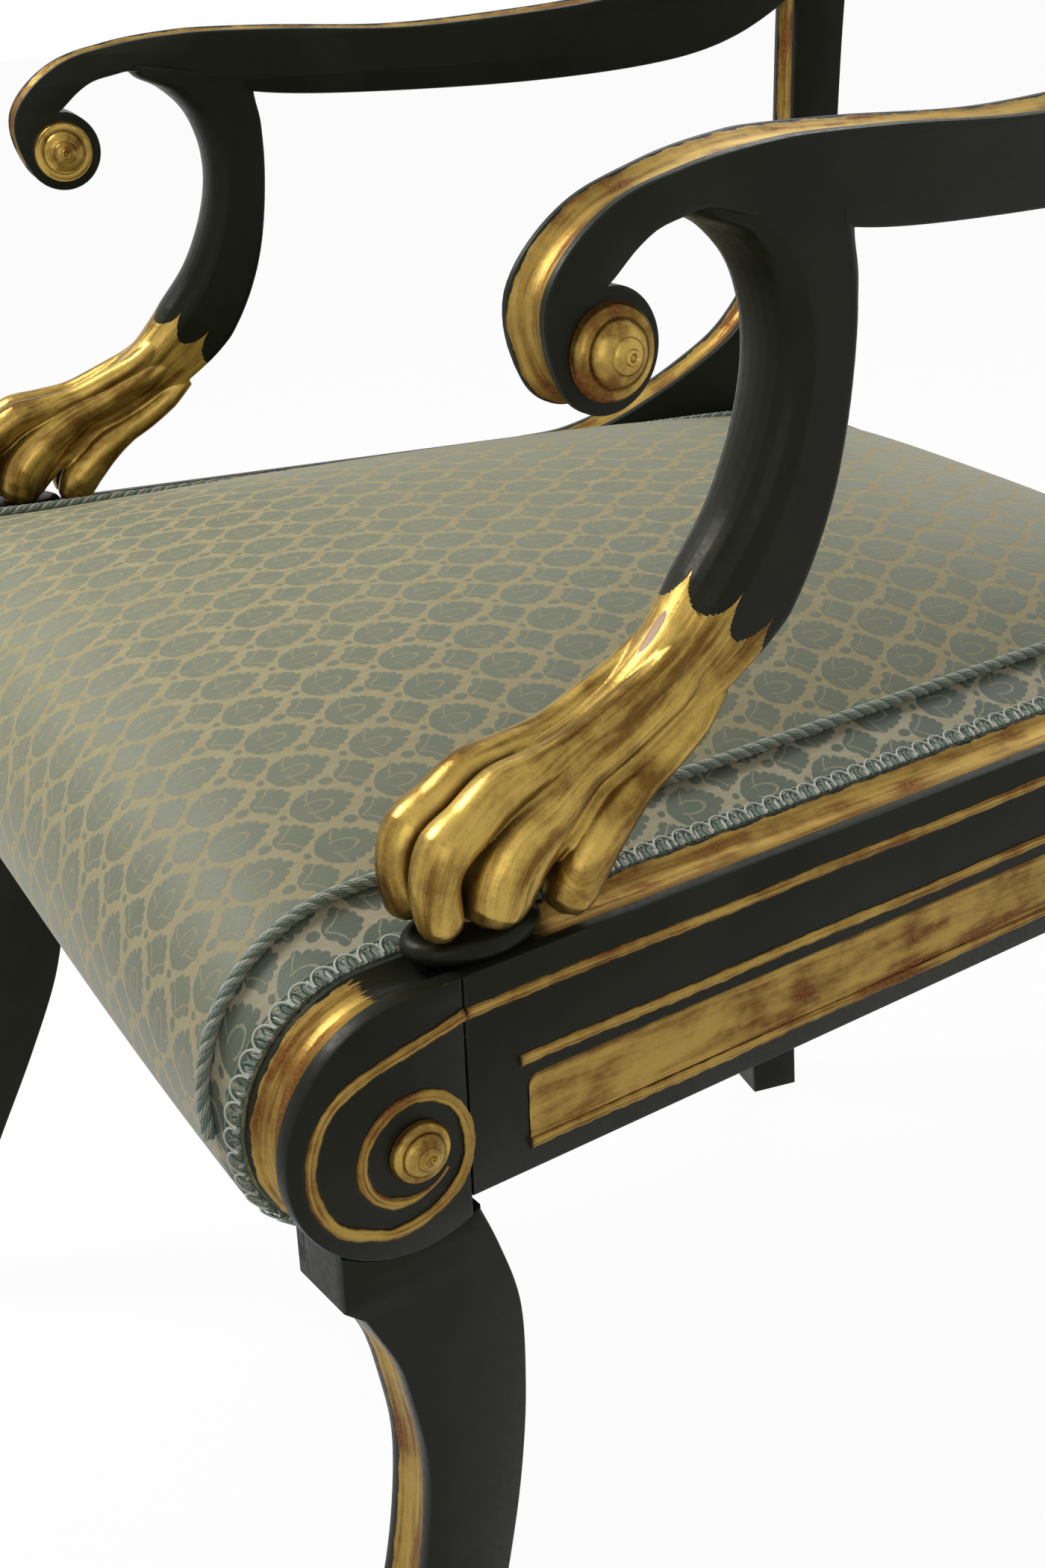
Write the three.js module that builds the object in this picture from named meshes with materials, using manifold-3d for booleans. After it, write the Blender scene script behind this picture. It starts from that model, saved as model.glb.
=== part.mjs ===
// Lyre back armchair with sabre legs, lion's paw arm supports and a tight upholstered seat.
// Millimetres, +Z up, the front of the chair faces -Y. The floor is Z = 0 and the middle is X = 0.
//
// Each side of the chair is built in a frame of its own, then turned by the splay.
// In it X is w, outward of the arm's middle plane, Y is u, backward of the arm's eye, and Z is up.

import * as THREE from "three";
import { mergeVertices } from "three/addons/utils/BufferGeometryUtils.js";
import Module from "manifold-3d";

const wasm = await Module();
wasm.setup();

// Driving dimensions
const fit = 0.3;
const overrun = 2;
const weld = 0.0001;
const splayDegrees = 7.6;
const fullTurnDegrees = 360;
const armSpread = 500;
const sideReach = 390;

const seatRailHeight = 461;
const seatRailDepth = 79;
const rimFace = 19;
const rimInner = -6;
const rimBorder = 4;
const ledgeInner = -20;
const ledgeDrop = 20;
const railReach = 295;
const hollowDepth = 3;
const beadHeight = 5;
const beadProud = 1.3;

const armHeight = 685;
const armThickness = 29;
const armWidth = 30;
const armHollowBorder = 2.2;
const eyeInner = -6;
const taperStart = 70;
const taperEnd = 15;
const eyeRadius = 18;
const eyeDrop = 49.5;
const armBossRadius = 14;
const armBossHeight = 11;

const supportBackset = 95;
const supportWidth = 30;
const pawWidth = 36;
const pawOffset = 1.5;
const toeRadius = 5.5;
const sideToeRadius = 6;
const padLength = 48;
const padWidth = 31;
const padThickness = 7;
const padBackset = -46;

const scrollRadius = 45;
const scrollBackset = -80;
const scrollJoint = 19;
const scrollBossRadius = 10.5;
const scrollBossHeight = 8;
const spiralBead = 3.8;

const legFace = 18;
const legInner = -6;
const legDepth = 40;
const legReach = 100;
const blockInner = -10;
const blockDepth = 50;
const blockDrop = 12;
const tongueInner = -20;
const tongueDepth = 22;
const tongueDrop = 18;

const sweepHeight = 150;
const postDepth = 27;
const postRise = 172;
const postRake = 34;
const footDepth = 30;
const footSetback = -11;

const frontRailFace = -87;
const frontRailThickness = 22;
const rearRailSetback = -27;
const rearRailThickness = 36;
const rearRimThickness = 13;
const tenonLength = 10;
const tenonThickness = 8;
const cornerBlockReach = 58;
const cornerBlockDrop = 12;

const webbingWidth = 50;
const webbingThickness = 1.2;
const longStrapPitch = 72;
const longStraps = 4;
const crossStrapPitch = 62;
const crossStraps = 4;
const crossStrapStart = -12;
const strapMargin = 3;
const hessianThickness = 0.8;
const dustThickness = 0.8;

const seatFront = -133;
const seatSetback = -5;
const apronDrop = 89.5;
const crownRise = 34;
const bandWidth = 26;
const bandRise = 8.8;
const cordRadius = 3;
const gimpThickness = 1.6;
const gimpMargin = 26;
const padRoom = 1;

const crestHeight = 66;
const crestThickness = 27;
const crestMargin = 16;
const crestSetback = 32;
const crestBow = 18;
const crestPanelDepth = 1.5;
const lowerRailRise = 21;
const lowerRailHeight = 28;
const lowerRailThickness = 20;
const lowerRailSetback = 3;
const lowerRailBow = 18;

const lyreHalfWidth = 47;
const soundBoxHeight = 45;
const soundBoxThickness = 18;
const hornThickness = 14;
const hornWidth = 12;
const hornEyeRadius = 10.7;
const stringRadius = 1.5;
const stringPitch = 11;
const strings = 4;
const yokeRadius = 4;
const rosetteRadius = 8;
const rosetteHeight = 5;

const dowelRadius = 4;
const dowelLength = 36;

// Facets of the round and curved pieces
const rodSides = 12;
const bossSides = 16;
const scrollSteps = 30;
const spiralSteps = 48;
const legSteps = 18;
const sweepSteps = 16;
const armSteps = 38;
const cushionSteps = 32;
const cordSkipSteps = 8;
const gimpSkipSteps = 4;
const cordSides = 8;

// Worked out from the driving dimensions
const splay = THREE.MathUtils.degToRad(splayDegrees);
const railTop = seatRailHeight;
const railBottom = seatRailHeight - seatRailDepth;
const ledgeTop = railTop - ledgeDrop;
const eyeLevel = armHeight - eyeDrop;
const scrollLevel = railTop - scrollRadius;
const jointFront = scrollBackset + scrollJoint;
const jointRear = jointFront + railReach;
const postHeight = armHeight + postRise;
const footBackset = sideReach + footSetback;
const rearRailFace = sideReach + rearRailSetback;
const seatBack = sideReach + seatSetback;
const crestFace = sideReach + crestSetback;
const crestReach = armSpread / 2 - crestMargin;
const lowerRailFace = sideReach + lowerRailSetback;
const lowerRailLevel = armHeight + lowerRailRise;
const lowerRailTop = lowerRailLevel + lowerRailHeight;
const crestBottom = postHeight + fit;
const hollowShares = [1, 0.75, 0.4, 0, -0.4, -0.75, -1];

// Materials
const paint = { color: 0x1f2620, roughness: 0.38, metalness: 0 };
const gilt = { color: 0xb08a3c, roughness: 0.35, metalness: 0.9 };
const beech = { color: 0xa98a5f, roughness: 0.7, metalness: 0 };
const damask = { color: 0x8a9a80, roughness: 0.85, metalness: 0 };
const cordYarn = { color: 0x7f9a88, roughness: 0.8, metalness: 0 };
const jute = { color: 0x9a8460, roughness: 0.95, metalness: 0 };
const cambric = { color: 0x1b1b1b, roughness: 0.95, metalness: 0 };
const brass = { color: 0xb59a52, roughness: 0.3, metalness: 1 };

const chair = new THREE.Group();
const rightSide = new THREE.Group();
rightSide.position.set(armSpread / 2, 0, 0);
rightSide.rotation.z = splay;
const leftSide = new THREE.Group();
leftSide.position.set(-armSpread / 2, 0, 0);
leftSide.rotation.z = -splay;
chair.add(rightSide, leftSide);

const sideToChair = new THREE.Matrix4().makeRotationZ(splay).setPosition(armSpread / 2, 0, 0);
const chairToSide = sideToChair.clone().invert();
const otherHand = new THREE.Matrix4().makeScale(-1, 1, 1);

// Solids
function solidOf(geometry) {
  const plain = geometry.clone();
  plain.deleteAttribute("normal");
  plain.deleteAttribute("uv");
  const merged = mergeVertices(plain, weld);
  const vertProperties = new Float32Array(merged.attributes.position.array);
  const triVerts = new Uint32Array(merged.index.array);
  return new wasm.Manifold(new wasm.Mesh({ numProp: 3, vertProperties, triVerts }));
}

function geometryOf(solid) {
  const mesh = solid.getMesh();
  const geometry = new THREE.BufferGeometry();
  geometry.setAttribute("position", new THREE.BufferAttribute(Float32Array.from(mesh.vertProperties), 3));
  geometry.setIndex(Array.from(mesh.triVerts));
  geometry.computeVertexNormals();
  return geometry;
}

function join(solids) {
  return solids.reduce((whole, solid) => whole.add(solid));
}

function cut(solid, cutters) {
  return cutters.reduce((whole, cutter) => whole.subtract(cutter), solid);
}

function flipped(geometry) {
  const index = geometry.index.array;
  for (let i = 0; i < index.length; i += 3) {
    [index[i], index[i + 1]] = [index[i + 1], index[i]];
  }
  return geometry;
}

function signedVolume(geometry) {
  const position = geometry.attributes.position;
  const [a, b, c] = [new THREE.Vector3(), new THREE.Vector3(), new THREE.Vector3()];
  let sum = 0;
  for (let i = 0; i < geometry.index.count; i += 3) {
    a.fromBufferAttribute(position, geometry.index.getX(i));
    b.fromBufferAttribute(position, geometry.index.getX(i + 1));
    c.fromBufferAttribute(position, geometry.index.getX(i + 2));
    sum += a.dot(b.cross(c));
  }
  return sum / 6;
}

function moved(solid, matrix) {
  const geometry = geometryOf(solid).applyMatrix4(matrix);
  return solidOf(matrix.determinant() < 0 ? flipped(geometry) : geometry);
}

function addMesh(group, name, solid, look) {
  const mesh = new THREE.Mesh(geometryOf(solid), new THREE.MeshStandardMaterial(look));
  mesh.name = name;
  group.add(mesh);
}

// A piece and its mirror image, in the frames of the two sides unless the chair's own is named
function addPair(name, solid, look, right = rightSide, left = leftSide) {
  addMesh(right, `${name}_right`, solid, look);
  addMesh(left, `${name}_left`, moved(solid, otherHand), look);
}

// Rings of points, one after another, closed by a cap at each end
function loft(sections, place) {
  const count = sections[0].length;
  const positions = [];
  const index = [];
  sections.forEach((section, i) => {
    section.forEach((point) => positions.push(...place(i, point).toArray()));
  });
  for (let i = 0; i + 1 < sections.length; i++) {
    for (let j = 0; j < count; j++) {
      const a = i * count + j;
      const b = i * count + (j + 1) % count;
      index.push(a, b, b + count, a, b + count, a + count);
    }
  }
  for (const end of [0, sections.length - 1]) {
    const outline = sections[end].map(([x, y]) => new THREE.Vector2(x, y));
    const forward = THREE.ShapeUtils.isClockWise(outline) === (end === 0);
    for (const [a, b, c] of THREE.ShapeUtils.triangulateShape(outline, [])) {
      const start = end * count;
      index.push(...(forward ? [start + a, start + b, start + c] : [start + a, start + c, start + b]));
    }
  }
  const geometry = new THREE.BufferGeometry();
  geometry.setAttribute("position", new THREE.Float32BufferAttribute(positions, 3));
  geometry.setIndex(index);
  return solidOf(signedVolume(geometry) < 0 ? flipped(geometry) : geometry);
}

// An outline in u and z, as thick as from one w to another
function slab(outline, from, to) {
  const shape = new THREE.Shape(outline.map(([u, z]) => new THREE.Vector2(u, z)));
  const geometry = new THREE.ExtrudeGeometry(shape, { depth: to - from, bevelEnabled: false });
  const turn = new THREE.Matrix4().makeBasis(
    new THREE.Vector3(0, 1, 0),
    new THREE.Vector3(0, 0, 1),
    new THREE.Vector3(1, 0, 0),
  );
  return solidOf(geometry.applyMatrix4(turn).translate(from, 0, 0));
}

// An outline in x and z, as thick as from one y to another
function panel(outline, from, to) {
  const shape = new THREE.Shape(outline.map(([x, z]) => new THREE.Vector2(x, z)));
  const geometry = new THREE.ExtrudeGeometry(shape, { depth: to - from, bevelEnabled: false });
  return solidOf(geometry.rotateX(Math.PI / 2).translate(0, to, 0));
}

// An outline in x and y, as thick as from one z to another
function plate(outline, from, to) {
  const shape = new THREE.Shape(outline.map(([x, y]) => new THREE.Vector2(x, y)));
  const geometry = new THREE.ExtrudeGeometry(shape, { depth: to - from, bevelEnabled: false });
  return solidOf(geometry.translate(0, 0, from));
}

function box(x0, x1, y0, y1, z0, z1) {
  const geometry = new THREE.BoxGeometry(x1 - x0, y1 - y0, z1 - z0);
  return solidOf(geometry.translate((x0 + x1) / 2, (y0 + y1) / 2, (z0 + z1) / 2));
}

// A round rod between two points
function rod(from, to, radius, sides = rodSides) {
  const axis = to.clone().sub(from);
  const geometry = new THREE.CylinderGeometry(radius, radius, axis.length(), sides);
  const turn = new THREE.Quaternion().setFromUnitVectors(new THREE.Vector3(0, 1, 0), axis.clone().normalize());
  geometry.applyQuaternion(turn);
  const middle = from.clone().add(to).multiplyScalar(0.5);
  return solidOf(geometry.translate(middle.x, middle.y, middle.z));
}

function smooth(points, steps) {
  const curve = new THREE.CatmullRomCurve3(points.map(([a, b]) => new THREE.Vector3(a, b, 0)), false, "centripetal");
  return curve.getSpacedPoints(steps).map((point) => [point.x, point.y]);
}

function arc(centreU, centreZ, radius, fromDegrees, toDegrees, steps) {
  const points = [];
  for (let i = 0; i <= steps; i++) {
    const angle = THREE.MathUtils.degToRad(fromDegrees + (toDegrees - fromDegrees) * i / steps);
    points.push([centreU + radius * Math.cos(angle), centreZ + radius * Math.sin(angle)]);
  }
  return points;
}

function directionAt(path, i) {
  const before = path[Math.max(i - 1, 0)];
  const after = path[Math.min(i + 1, path.length - 1)];
  return new THREE.Vector2(after[0] - before[0], after[1] - before[1]).normalize();
}

// Cuts a shallow hollow along a path in u and z whose outer side is on the path's left.
// The hollow's two edges in w are given for each u.
function hollowCutter(path, edgesAt, depth) {
  const sections = path.map(([u]) => {
    const [from, to] = edgesAt(u);
    const half = (to - from) / 2;
    const middle = (from + to) / 2;
    const section = hollowShares.map((share) => [middle + share * half, -depth * (1 - share * share)]);
    return [...section, [from, overrun], [to, overrun]];
  });
  return loft(sections, (i, [w, lift]) => {
    const along = directionAt(path, i);
    return new THREE.Vector3(w, path[i][0] - along.y * lift, path[i][1] + along.x * lift);
  });
}

function turned(profile, steps = bossSides) {
  const points = profile.map(([radius, height]) => new THREE.Vector2(radius, height));
  return solidOf(new THREE.LatheGeometry(points, steps));
}

// A turned boss with a domed ring and a nub, its axis along +w or -w
const bossProfileShares = [
  [0, 0], [1, 0], [1, 0.14], [0.93, 0.26], [0.8, 0.3], [0.74, 0.42],
  [0.55, 0.62], [0.34, 0.74], [0.28, 0.88], [0.14, 1], [0, 1],
];

function bossProfile(radius, height) {
  return bossProfileShares.map(([r, h]) => [r * radius, h * height]);
}

function boss(radius, height, w, u, z, toward) {
  const geometry = geometryOf(turned(bossProfile(radius, height))).rotateZ(-toward * Math.PI / 2);
  return solidOf(geometry.translate(w, u, z));
}

// X of the plane at a given w of the right side, at a given Y
function sideX(w, y) {
  return armSpread / 2 + w / Math.cos(splay) - y * Math.tan(splay);
}

// The room between the two sides, from a given w of one to the same w of the other
function roomBetween(w, bottom, top) {
  const front = -sideReach;
  const rear = 2 * sideReach;
  const outline = [
    [-sideX(w, front), front],
    [sideX(w, front), front],
    [sideX(w, rear), rear],
    [-sideX(w, rear), rear],
  ];
  return plate(outline, bottom, top);
}

// Side rail, its section in w and z
const beadShares = [[0, 0], [0.15, 0.6], [0.5, 1], [0.85, 0.6], [1, 0]];
const beadLevelShares = [0.1, 0.5, 0.81];
const arrisShare = 0.5;

function railBeadPoints(low) {
  return beadShares.map(([up, out]) => [rimFace + out * beadProud, low + up * beadHeight]);
}

function sideRail() {
  const middle = (rimInner + rimFace) / 2;
  const half = (rimFace - rimInner) / 2 - rimBorder;
  const arris = arrisShare * rimBorder;
  const section = [
    [ledgeInner, railBottom],
    [rimFace - arris, railBottom],
    [rimFace, railBottom + arris],
    ...beadLevelShares.flatMap((share) => railBeadPoints(railBottom + share * seatRailDepth)),
    [rimFace, railTop - arris],
    [rimFace - arris, railTop],
    ...hollowShares.map((share) => [middle + share * half, railTop - hollowDepth * (1 - share * share)]),
    [rimInner, railTop],
    [rimInner, ledgeTop],
    [ledgeInner, ledgeTop],
  ];
  const ends = [jointFront + fit / 2, jointRear - fit / 2];
  return loft([section, section], (i, [w, z]) => new THREE.Vector3(w, ends[i], z));
}

// Volute block in front of the rail
const scrollTopDegrees = 90;
const scrollHollowEndShare = 0.73;

function scrollOutline() {
  const back = THREE.MathUtils.radToDeg(Math.acos((scrollJoint - fit / 2) / scrollRadius));
  return arc(scrollBackset, scrollLevel, scrollRadius, scrollTopDegrees, fullTurnDegrees - back, scrollSteps);
}

function scrollBlock() {
  const back = jointFront - fit / 2;
  const rim = scrollOutline();
  const block = slab([[back, railTop], ...rim], rimInner, rimFace);
  const gilded = rim.slice(0, Math.round(scrollHollowEndShare * rim.length));
  const path = [[back + overrun, railTop], ...gilded].reverse();
  const hollow = hollowCutter(path, () => [rimInner + rimBorder / 2, rimFace - rimBorder], hollowDepth);
  const railSide = box(rimInner - overrun, rimFace + spiralBead, back, jointRear, railBottom, railTop + overrun);
  return cut(join([cut(block, [hollow]), spiral()]), [railSide]);
}

// The spiral bead, by its radius at every 45 degrees from the top, in shares of the scroll's radius
const spiralRadiusShares = [0.91, 0.87, 0.82, 0.69, 0.56, 0.48, 0.4, 0.395, 0.42, 0.44, 0.445, 0.41, 0.36, 0.32];
const spiralDropShare = 0.18;
const spiralTopShare = 0.6;
const spiralEye = scrollLevel - spiralDropShare * scrollRadius;

function spiralPath() {
  const last = spiralRadiusShares.length - 1;
  const points = [];
  for (let i = 0; i <= spiralSteps; i++) {
    const place = i / spiralSteps * last;
    const k = Math.min(Math.floor(place), last - 1);
    const share = THREE.MathUtils.lerp(spiralRadiusShares[k], spiralRadiusShares[k + 1], place - k);
    const angle = Math.PI / 2 + place * Math.PI / 4;
    const radius = share * scrollRadius;
    points.push([scrollBackset + radius * Math.cos(angle), spiralEye + radius * Math.sin(angle)]);
  }
  return points;
}

function spiral() {
  const path = spiralPath();
  const foot = spiralBead / 2;
  const top = spiralTopShare * foot;
  const section = [[-foot, -beadProud], [foot, -beadProud], [top, beadProud], [-top, beadProud]];
  return loft(path.map(() => section), (i, [side, lift]) => {
    const along = directionAt(path, i);
    return new THREE.Vector3(rimFace + lift, path[i][0] - along.y * side, path[i][1] + along.x * side);
  });
}

// Front leg: a sabre leg under a square block, with a tongue behind the volute for the front rail.
// Points run down the leg: u in shares of its reach, z in shares of the volute's height.
const legFrontShares = [
  [-0.215, 0.825], [-0.125, 0.79], [-0.065, 0.74], [-0.035, 0.69], [-0.035, 0.65], [-0.075, 0.57],
  [-0.175, 0.47], [-0.335, 0.34], [-0.545, 0.2], [-0.755, 0.09], [-0.945, 0],
];
const legBackShares = [
  [-0.69, 0], [-0.5, 0.1], [-0.25, 0.23], [0.01, 0.36], [0.2, 0.47], [0.3, 0.57],
  [0.35, 0.65], [0.37, 0.72], [0.36, 0.8], [0.29, 0.86], [0.21, 0.91],
];
const hipShares = [-0.64, -0.5];
const blockTopShare = 0.73;
const blockSlantShares = [0.3, 0.16];
const blockFront = scrollBackset + hipShares[0] * scrollRadius;
const blockTop = scrollLevel - blockTopShare * scrollRadius;
const blockBottom = scrollLevel - scrollRadius - blockDrop;
const tongueBack = jointFront - fit;
const tongueFront = tongueBack - tongueDepth;

function legPoints(shares) {
  return shares.map(([u, z]) => [scrollBackset + u * legReach, z * scrollLevel]);
}

function frontLeg() {
  const front = smooth(legPoints(legFrontShares), legSteps);
  const back = smooth(legPoints(legBackShares), legSteps);
  const hip = [blockFront + legDepth, scrollLevel + hipShares[1] * scrollRadius];
  const leg = slab([...front, ...back, hip], legInner, legFace);
  const [slant, rise] = blockSlantShares;
  const blockTo = (top) => [
    [blockFront, blockBottom],
    [blockFront + slant * blockDepth, blockBottom - rise * blockDepth],
    [blockFront + blockDepth, blockBottom],
    [blockFront + blockDepth, top],
    [blockFront, top],
  ];
  const block = slab(blockTo(blockTop), legInner, legFace);
  const flange = slab(blockTo(scrollLevel - scrollRadius - fit), blockInner, legFace);
  const tongueEnds = [tongueFront, tongueBack];
  const tongue = box(tongueInner, rimInner - fit, ...tongueEnds, railBottom - tongueDrop, ledgeTop);
  const disc = arc(scrollBackset, scrollLevel, scrollRadius + fit, 0, fullTurnDegrees, scrollSteps);
  const volute = slab(disc.slice(1), rimInner - fit, rimFace + overrun);
  const rail = box(tongueInner, rimFace + overrun, jointFront - fit / 2, jointRear, railBottom - fit, railTop);
  return cut(join([leg, block, flange, tongue]), [volute, rail]);
}

// Rear post: rear leg, sweep and stile. Points run from the rail's joint up the front of the stile,
// u in shares of the sweep's length and z in shares of its height.
const sweepShares = [
  [0, 0], [0.16, 0.01], [0.32, 0.055], [0.48, 0.13], [0.63, 0.215], [0.78, 0.325], [0.9, 0.49],
  [0.975, 0.67], [1, 0.85], [1, 1],
];
const stileShares = [[0, 0], [0.02, 0.3], [0.1, 0.5], [0.33, 0.72], [0.66, 0.88], [1, 1]];
const rearLegFrontShares = [[0, 0], [-0.2, 0.25], [-0.35, 0.5], [-0.38, 0.75], [-0.4, 0.93], [-0.62, 0.985]];
const rearLegBackShares = [[0, 1], [-0.12, 0.75], [-0.22, 0.5], [-0.12, 0.22], [0, 0]];
const stileFoot = railTop + sweepHeight;
const sweepLength = sideReach - jointRear;

function postFront() {
  const sweep = sweepShares.map(([u, z]) => [jointRear + u * sweepLength, railTop + z * sweepHeight]);
  const stile = stileShares.map(([u, z]) => [sideReach + u * postRake, stileFoot + z * (postHeight - stileFoot)]);
  return [...smooth(sweep, sweepSteps), ...smooth(stile, sweepSteps / 2).slice(1)];
}

function rearPost() {
  const front = postFront();
  const kneeLevel = stileFoot - seatRailDepth;
  const stile = stileShares.map(([u, z]) => {
    return [sideReach + postDepth + u * postRake, kneeLevel + z * (postHeight - kneeLevel)];
  });
  const legBack = rearLegBackShares.map(([u, z]) => [footBackset + footDepth + u * footDepth, z * railBottom]);
  const legFront = rearLegFrontShares.map(([u, z]) => [footBackset + u * footDepth, z * railBottom]);
  const back = smooth([...stile.reverse(), ...legBack], legSteps);
  const forward = smooth(legFront, sweepSteps / 2);
  const start = jointRear + fit / 2;
  const outline = [[start, railTop], ...front.slice(1), ...back, ...forward, [start, railBottom]];
  const path = [[jointRear - overrun, railTop], ...front.slice(1)].reverse();
  const hollow = hollowCutter(path, () => [rimInner + rimBorder, rimFace - rimBorder], hollowDepth);
  return cut(slab(outline, rimInner, rimFace), [hollow]);
}

// Arm: its top and its underside from the stile to the neck of the scroll,
// u in shares of the side's reach and z in shares of the arm's thickness below its top
const armTopShares = [
  [1, 1.69], [0.93, 1.07], [0.85, 0.59], [0.77, 0.28], [0.7, 0.12], [0.6, 0], [0.44, -0.1], [0.28, 0],
  [0.18, 0.03], [0.15, 0.01], [0.115, -0.03], [0.087, -0.08], [0.06, -0.15], [0.033, -0.23],
  [0.01, -0.34], [-0.01, -0.49], [-0.028, -0.68], [-0.043, -0.9], [-0.053, -1.15], [-0.055, -1.4],
  [-0.052, -1.64], [-0.046, -1.86],
];
const armUnderShares = [
  [0, -1.1], [0.004, -1.07], [0.012, -0.98], [0.026, -0.82], [0.046, -0.66], [0.07, -0.58], [0.092, -0.53],
  [0.13, -0.66], [0.2, -0.86], [0.242, -0.97], [0.3, -1.05], [0.44, -1.12], [0.62, -1.12], [0.77, -1],
  [0.85, -0.83], [0.905, -0.59], [0.95, -0.28], [1, 0.17],
];
const eyeArcDegrees = [205, 440];
const armHollowDegrees = [205, 285];
const hollowEyeSteps = 8;

function armEdge(shares) {
  return smooth(shares.map(([u, z]) => [u * sideReach, armHeight + z * armThickness]), armSteps);
}

function arm() {
  const top = armEdge(armTopShares);
  const eye = arc(0, eyeLevel, eyeRadius, ...eyeArcDegrees, armSteps / 2);
  const outline = [...top, ...eye, ...armEdge(armUnderShares)];
  const body = slab(outline.map(([u, z]) => [Math.min(u, sideReach - fit), z]), -armWidth / 2, armWidth / 2);
  const innerAt = (u) => {
    const share = THREE.MathUtils.clamp((taperStart - u) / (taperStart - taperEnd), 0, 1);
    return THREE.MathUtils.lerp(-armWidth / 2, eyeInner, share);
  };
  const curl = arc(0, eyeLevel, eyeRadius, ...armHollowDegrees, hollowEyeSteps);
  const path = [[sideReach + overrun, top[0][1] + overrun], ...top.slice(1), ...curl].reverse();
  const edgesAt = (u) => [innerAt(u) + armHollowBorder, armWidth / 2 - armHollowBorder];
  const taper = plate([
    [-armWidth, taperStart],
    [-armWidth / 2, taperStart],
    [eyeInner, taperEnd],
    [eyeInner, -2 * eyeRadius],
    [-armWidth, -2 * eyeRadius],
  ], eyeLevel - 2 * eyeRadius, armHeight + armThickness);
  return cut(body, [hollowCutter(path, edgesAt, hollowDepth), taper]);
}

// Arm support: front and back edge from the arm down to the paw's sole,
// u in shares of the support's backset and z in shares of the height from the pad to the arm
const soleLevel = railTop + fit + padThickness + fit;
const supportRise = armHeight - soleLevel;
const supportShares = [
  { front: [0.33, 0.975], back: [0.98, 0.905], width: 1 },
  { front: [0.37, 0.925], back: [0.985, 0.862], width: 1 },
  { front: [0.51, 0.89], back: [1.005, 0.815], width: 1 },
  { front: [0.63, 0.84], back: [1.01, 0.77], width: 1 },
  { front: [0.695, 0.775], back: [1.01, 0.725], width: 1 },
  { front: [0.715, 0.706], back: [1, 0.66], width: 1 },
  { front: [0.695, 0.637], back: [0.98, 0.59], width: 1 },
  { front: [0.64, 0.563], back: [0.945, 0.516], width: 1 },
  { front: [0.56, 0.493], back: [0.885, 0.44], width: 1 },
  { front: [0.463, 0.438], back: [0.8, 0.367], width: 1 },
  { front: [0.36, 0.387], back: [0.69, 0.3], width: 1 },
  { front: [0.22, 0.33], back: [0.55, 0.24], width: 1 },
  { front: [0.06, 0.288], back: [0.39, 0.185], width: 1.02 },
  { front: [-0.105, 0.257], back: [0.23, 0.143], width: 1.04 },
  { front: [-0.27, 0.236], back: [0.085, 0.11], width: 1.06 },
  { front: [-0.44, 0.21], back: [0, 0.08], width: 1.1 },
  { front: [-0.57, 0.15], back: [-0.06, 0.045], width: 1.12 },
  { front: [-0.62, 0.08], back: [-0.1, 0.02], width: 1.1 },
  { front: [-0.66, 0], back: [-0.14, 0], width: 1.1 },
];
const supportSectionShares = [
  [-1, 0.06], [-0.9, 0], [0.9, 0], [1, 0.06], [1, 0.66], [0.85, 0.84], [0.5, 0.96], [0, 1],
  [-0.5, 0.96], [-0.85, 0.84], [-1, 0.66],
];

const toePathShares = [[-0.3, 0.2], [-0.5, 0.21], [-0.66, 0.15], [-0.735, 0.085], [-0.72, 0.035], [-0.7, 0.002]];
const sideToePathShares = [[0.2, 0.17], [0.02, 0.14], [-0.12, 0.09], [-0.19, 0.035], [-0.2, -0.01], [-0.19, -0.025]];
const toeRadiusShares = [0.6, 0.85, 1, 1, 0.85, 0.35];
const toePlaceShares = [[-0.37, 0.09], [-0.13, 0], [0.13, 0], [0.37, 0.09]];
const sideToePlaceShares = [0.36, 0];
const toeSides = 9;

function supportPlace([u, z]) {
  return new THREE.Vector2(u * supportBackset, soleLevel + z * supportRise);
}

function toe(pathShares, [across, back], radius) {
  const path = pathShares.map(([u, z]) => supportPlace([u + back, z]).toArray());
  const sections = toeRadiusShares.map((share) => {
    return arc(0, 0, share * radius, 0, fullTurnDegrees, toeSides).slice(1);
  });
  return loft(sections, (i, [a, b]) => {
    const along = directionAt(path, i);
    return new THREE.Vector3(pawOffset + across * pawWidth + a, path[i][0] - along.y * b, path[i][1] + along.x * b);
  });
}

const padProfileShares = [[0.86, 0], [1, 0.45], [0.9, 1]];
const padSides = 24;

function padSolid(grow) {
  const low = railTop + fit - grow;
  const high = railTop + fit + padThickness + grow;
  const rings = padProfileShares.map(([r, z]) => [r, THREE.MathUtils.lerp(low, high, z)]);
  const geometry = geometryOf(turned([[0, low], ...rings, [0, high]], padSides)).rotateX(Math.PI / 2);
  geometry.scale(padWidth / 2 + grow, padLength / 2 + grow, 1);
  return solidOf(geometry.translate(pawOffset, padBackset, 0));
}

function underArm() {
  const outline = armEdge(armUnderShares).filter(([u]) => u < supportBackset + armWidth);
  const lowered = outline.map(([u, z]) => [u, z - fit]);
  const [firstU] = lowered[0];
  const [lastU] = lowered[lowered.length - 1];
  const lid = armHeight + armThickness;
  return slab([...lowered, [lastU, lid], [firstU, lid]], -armWidth, armWidth);
}

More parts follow.
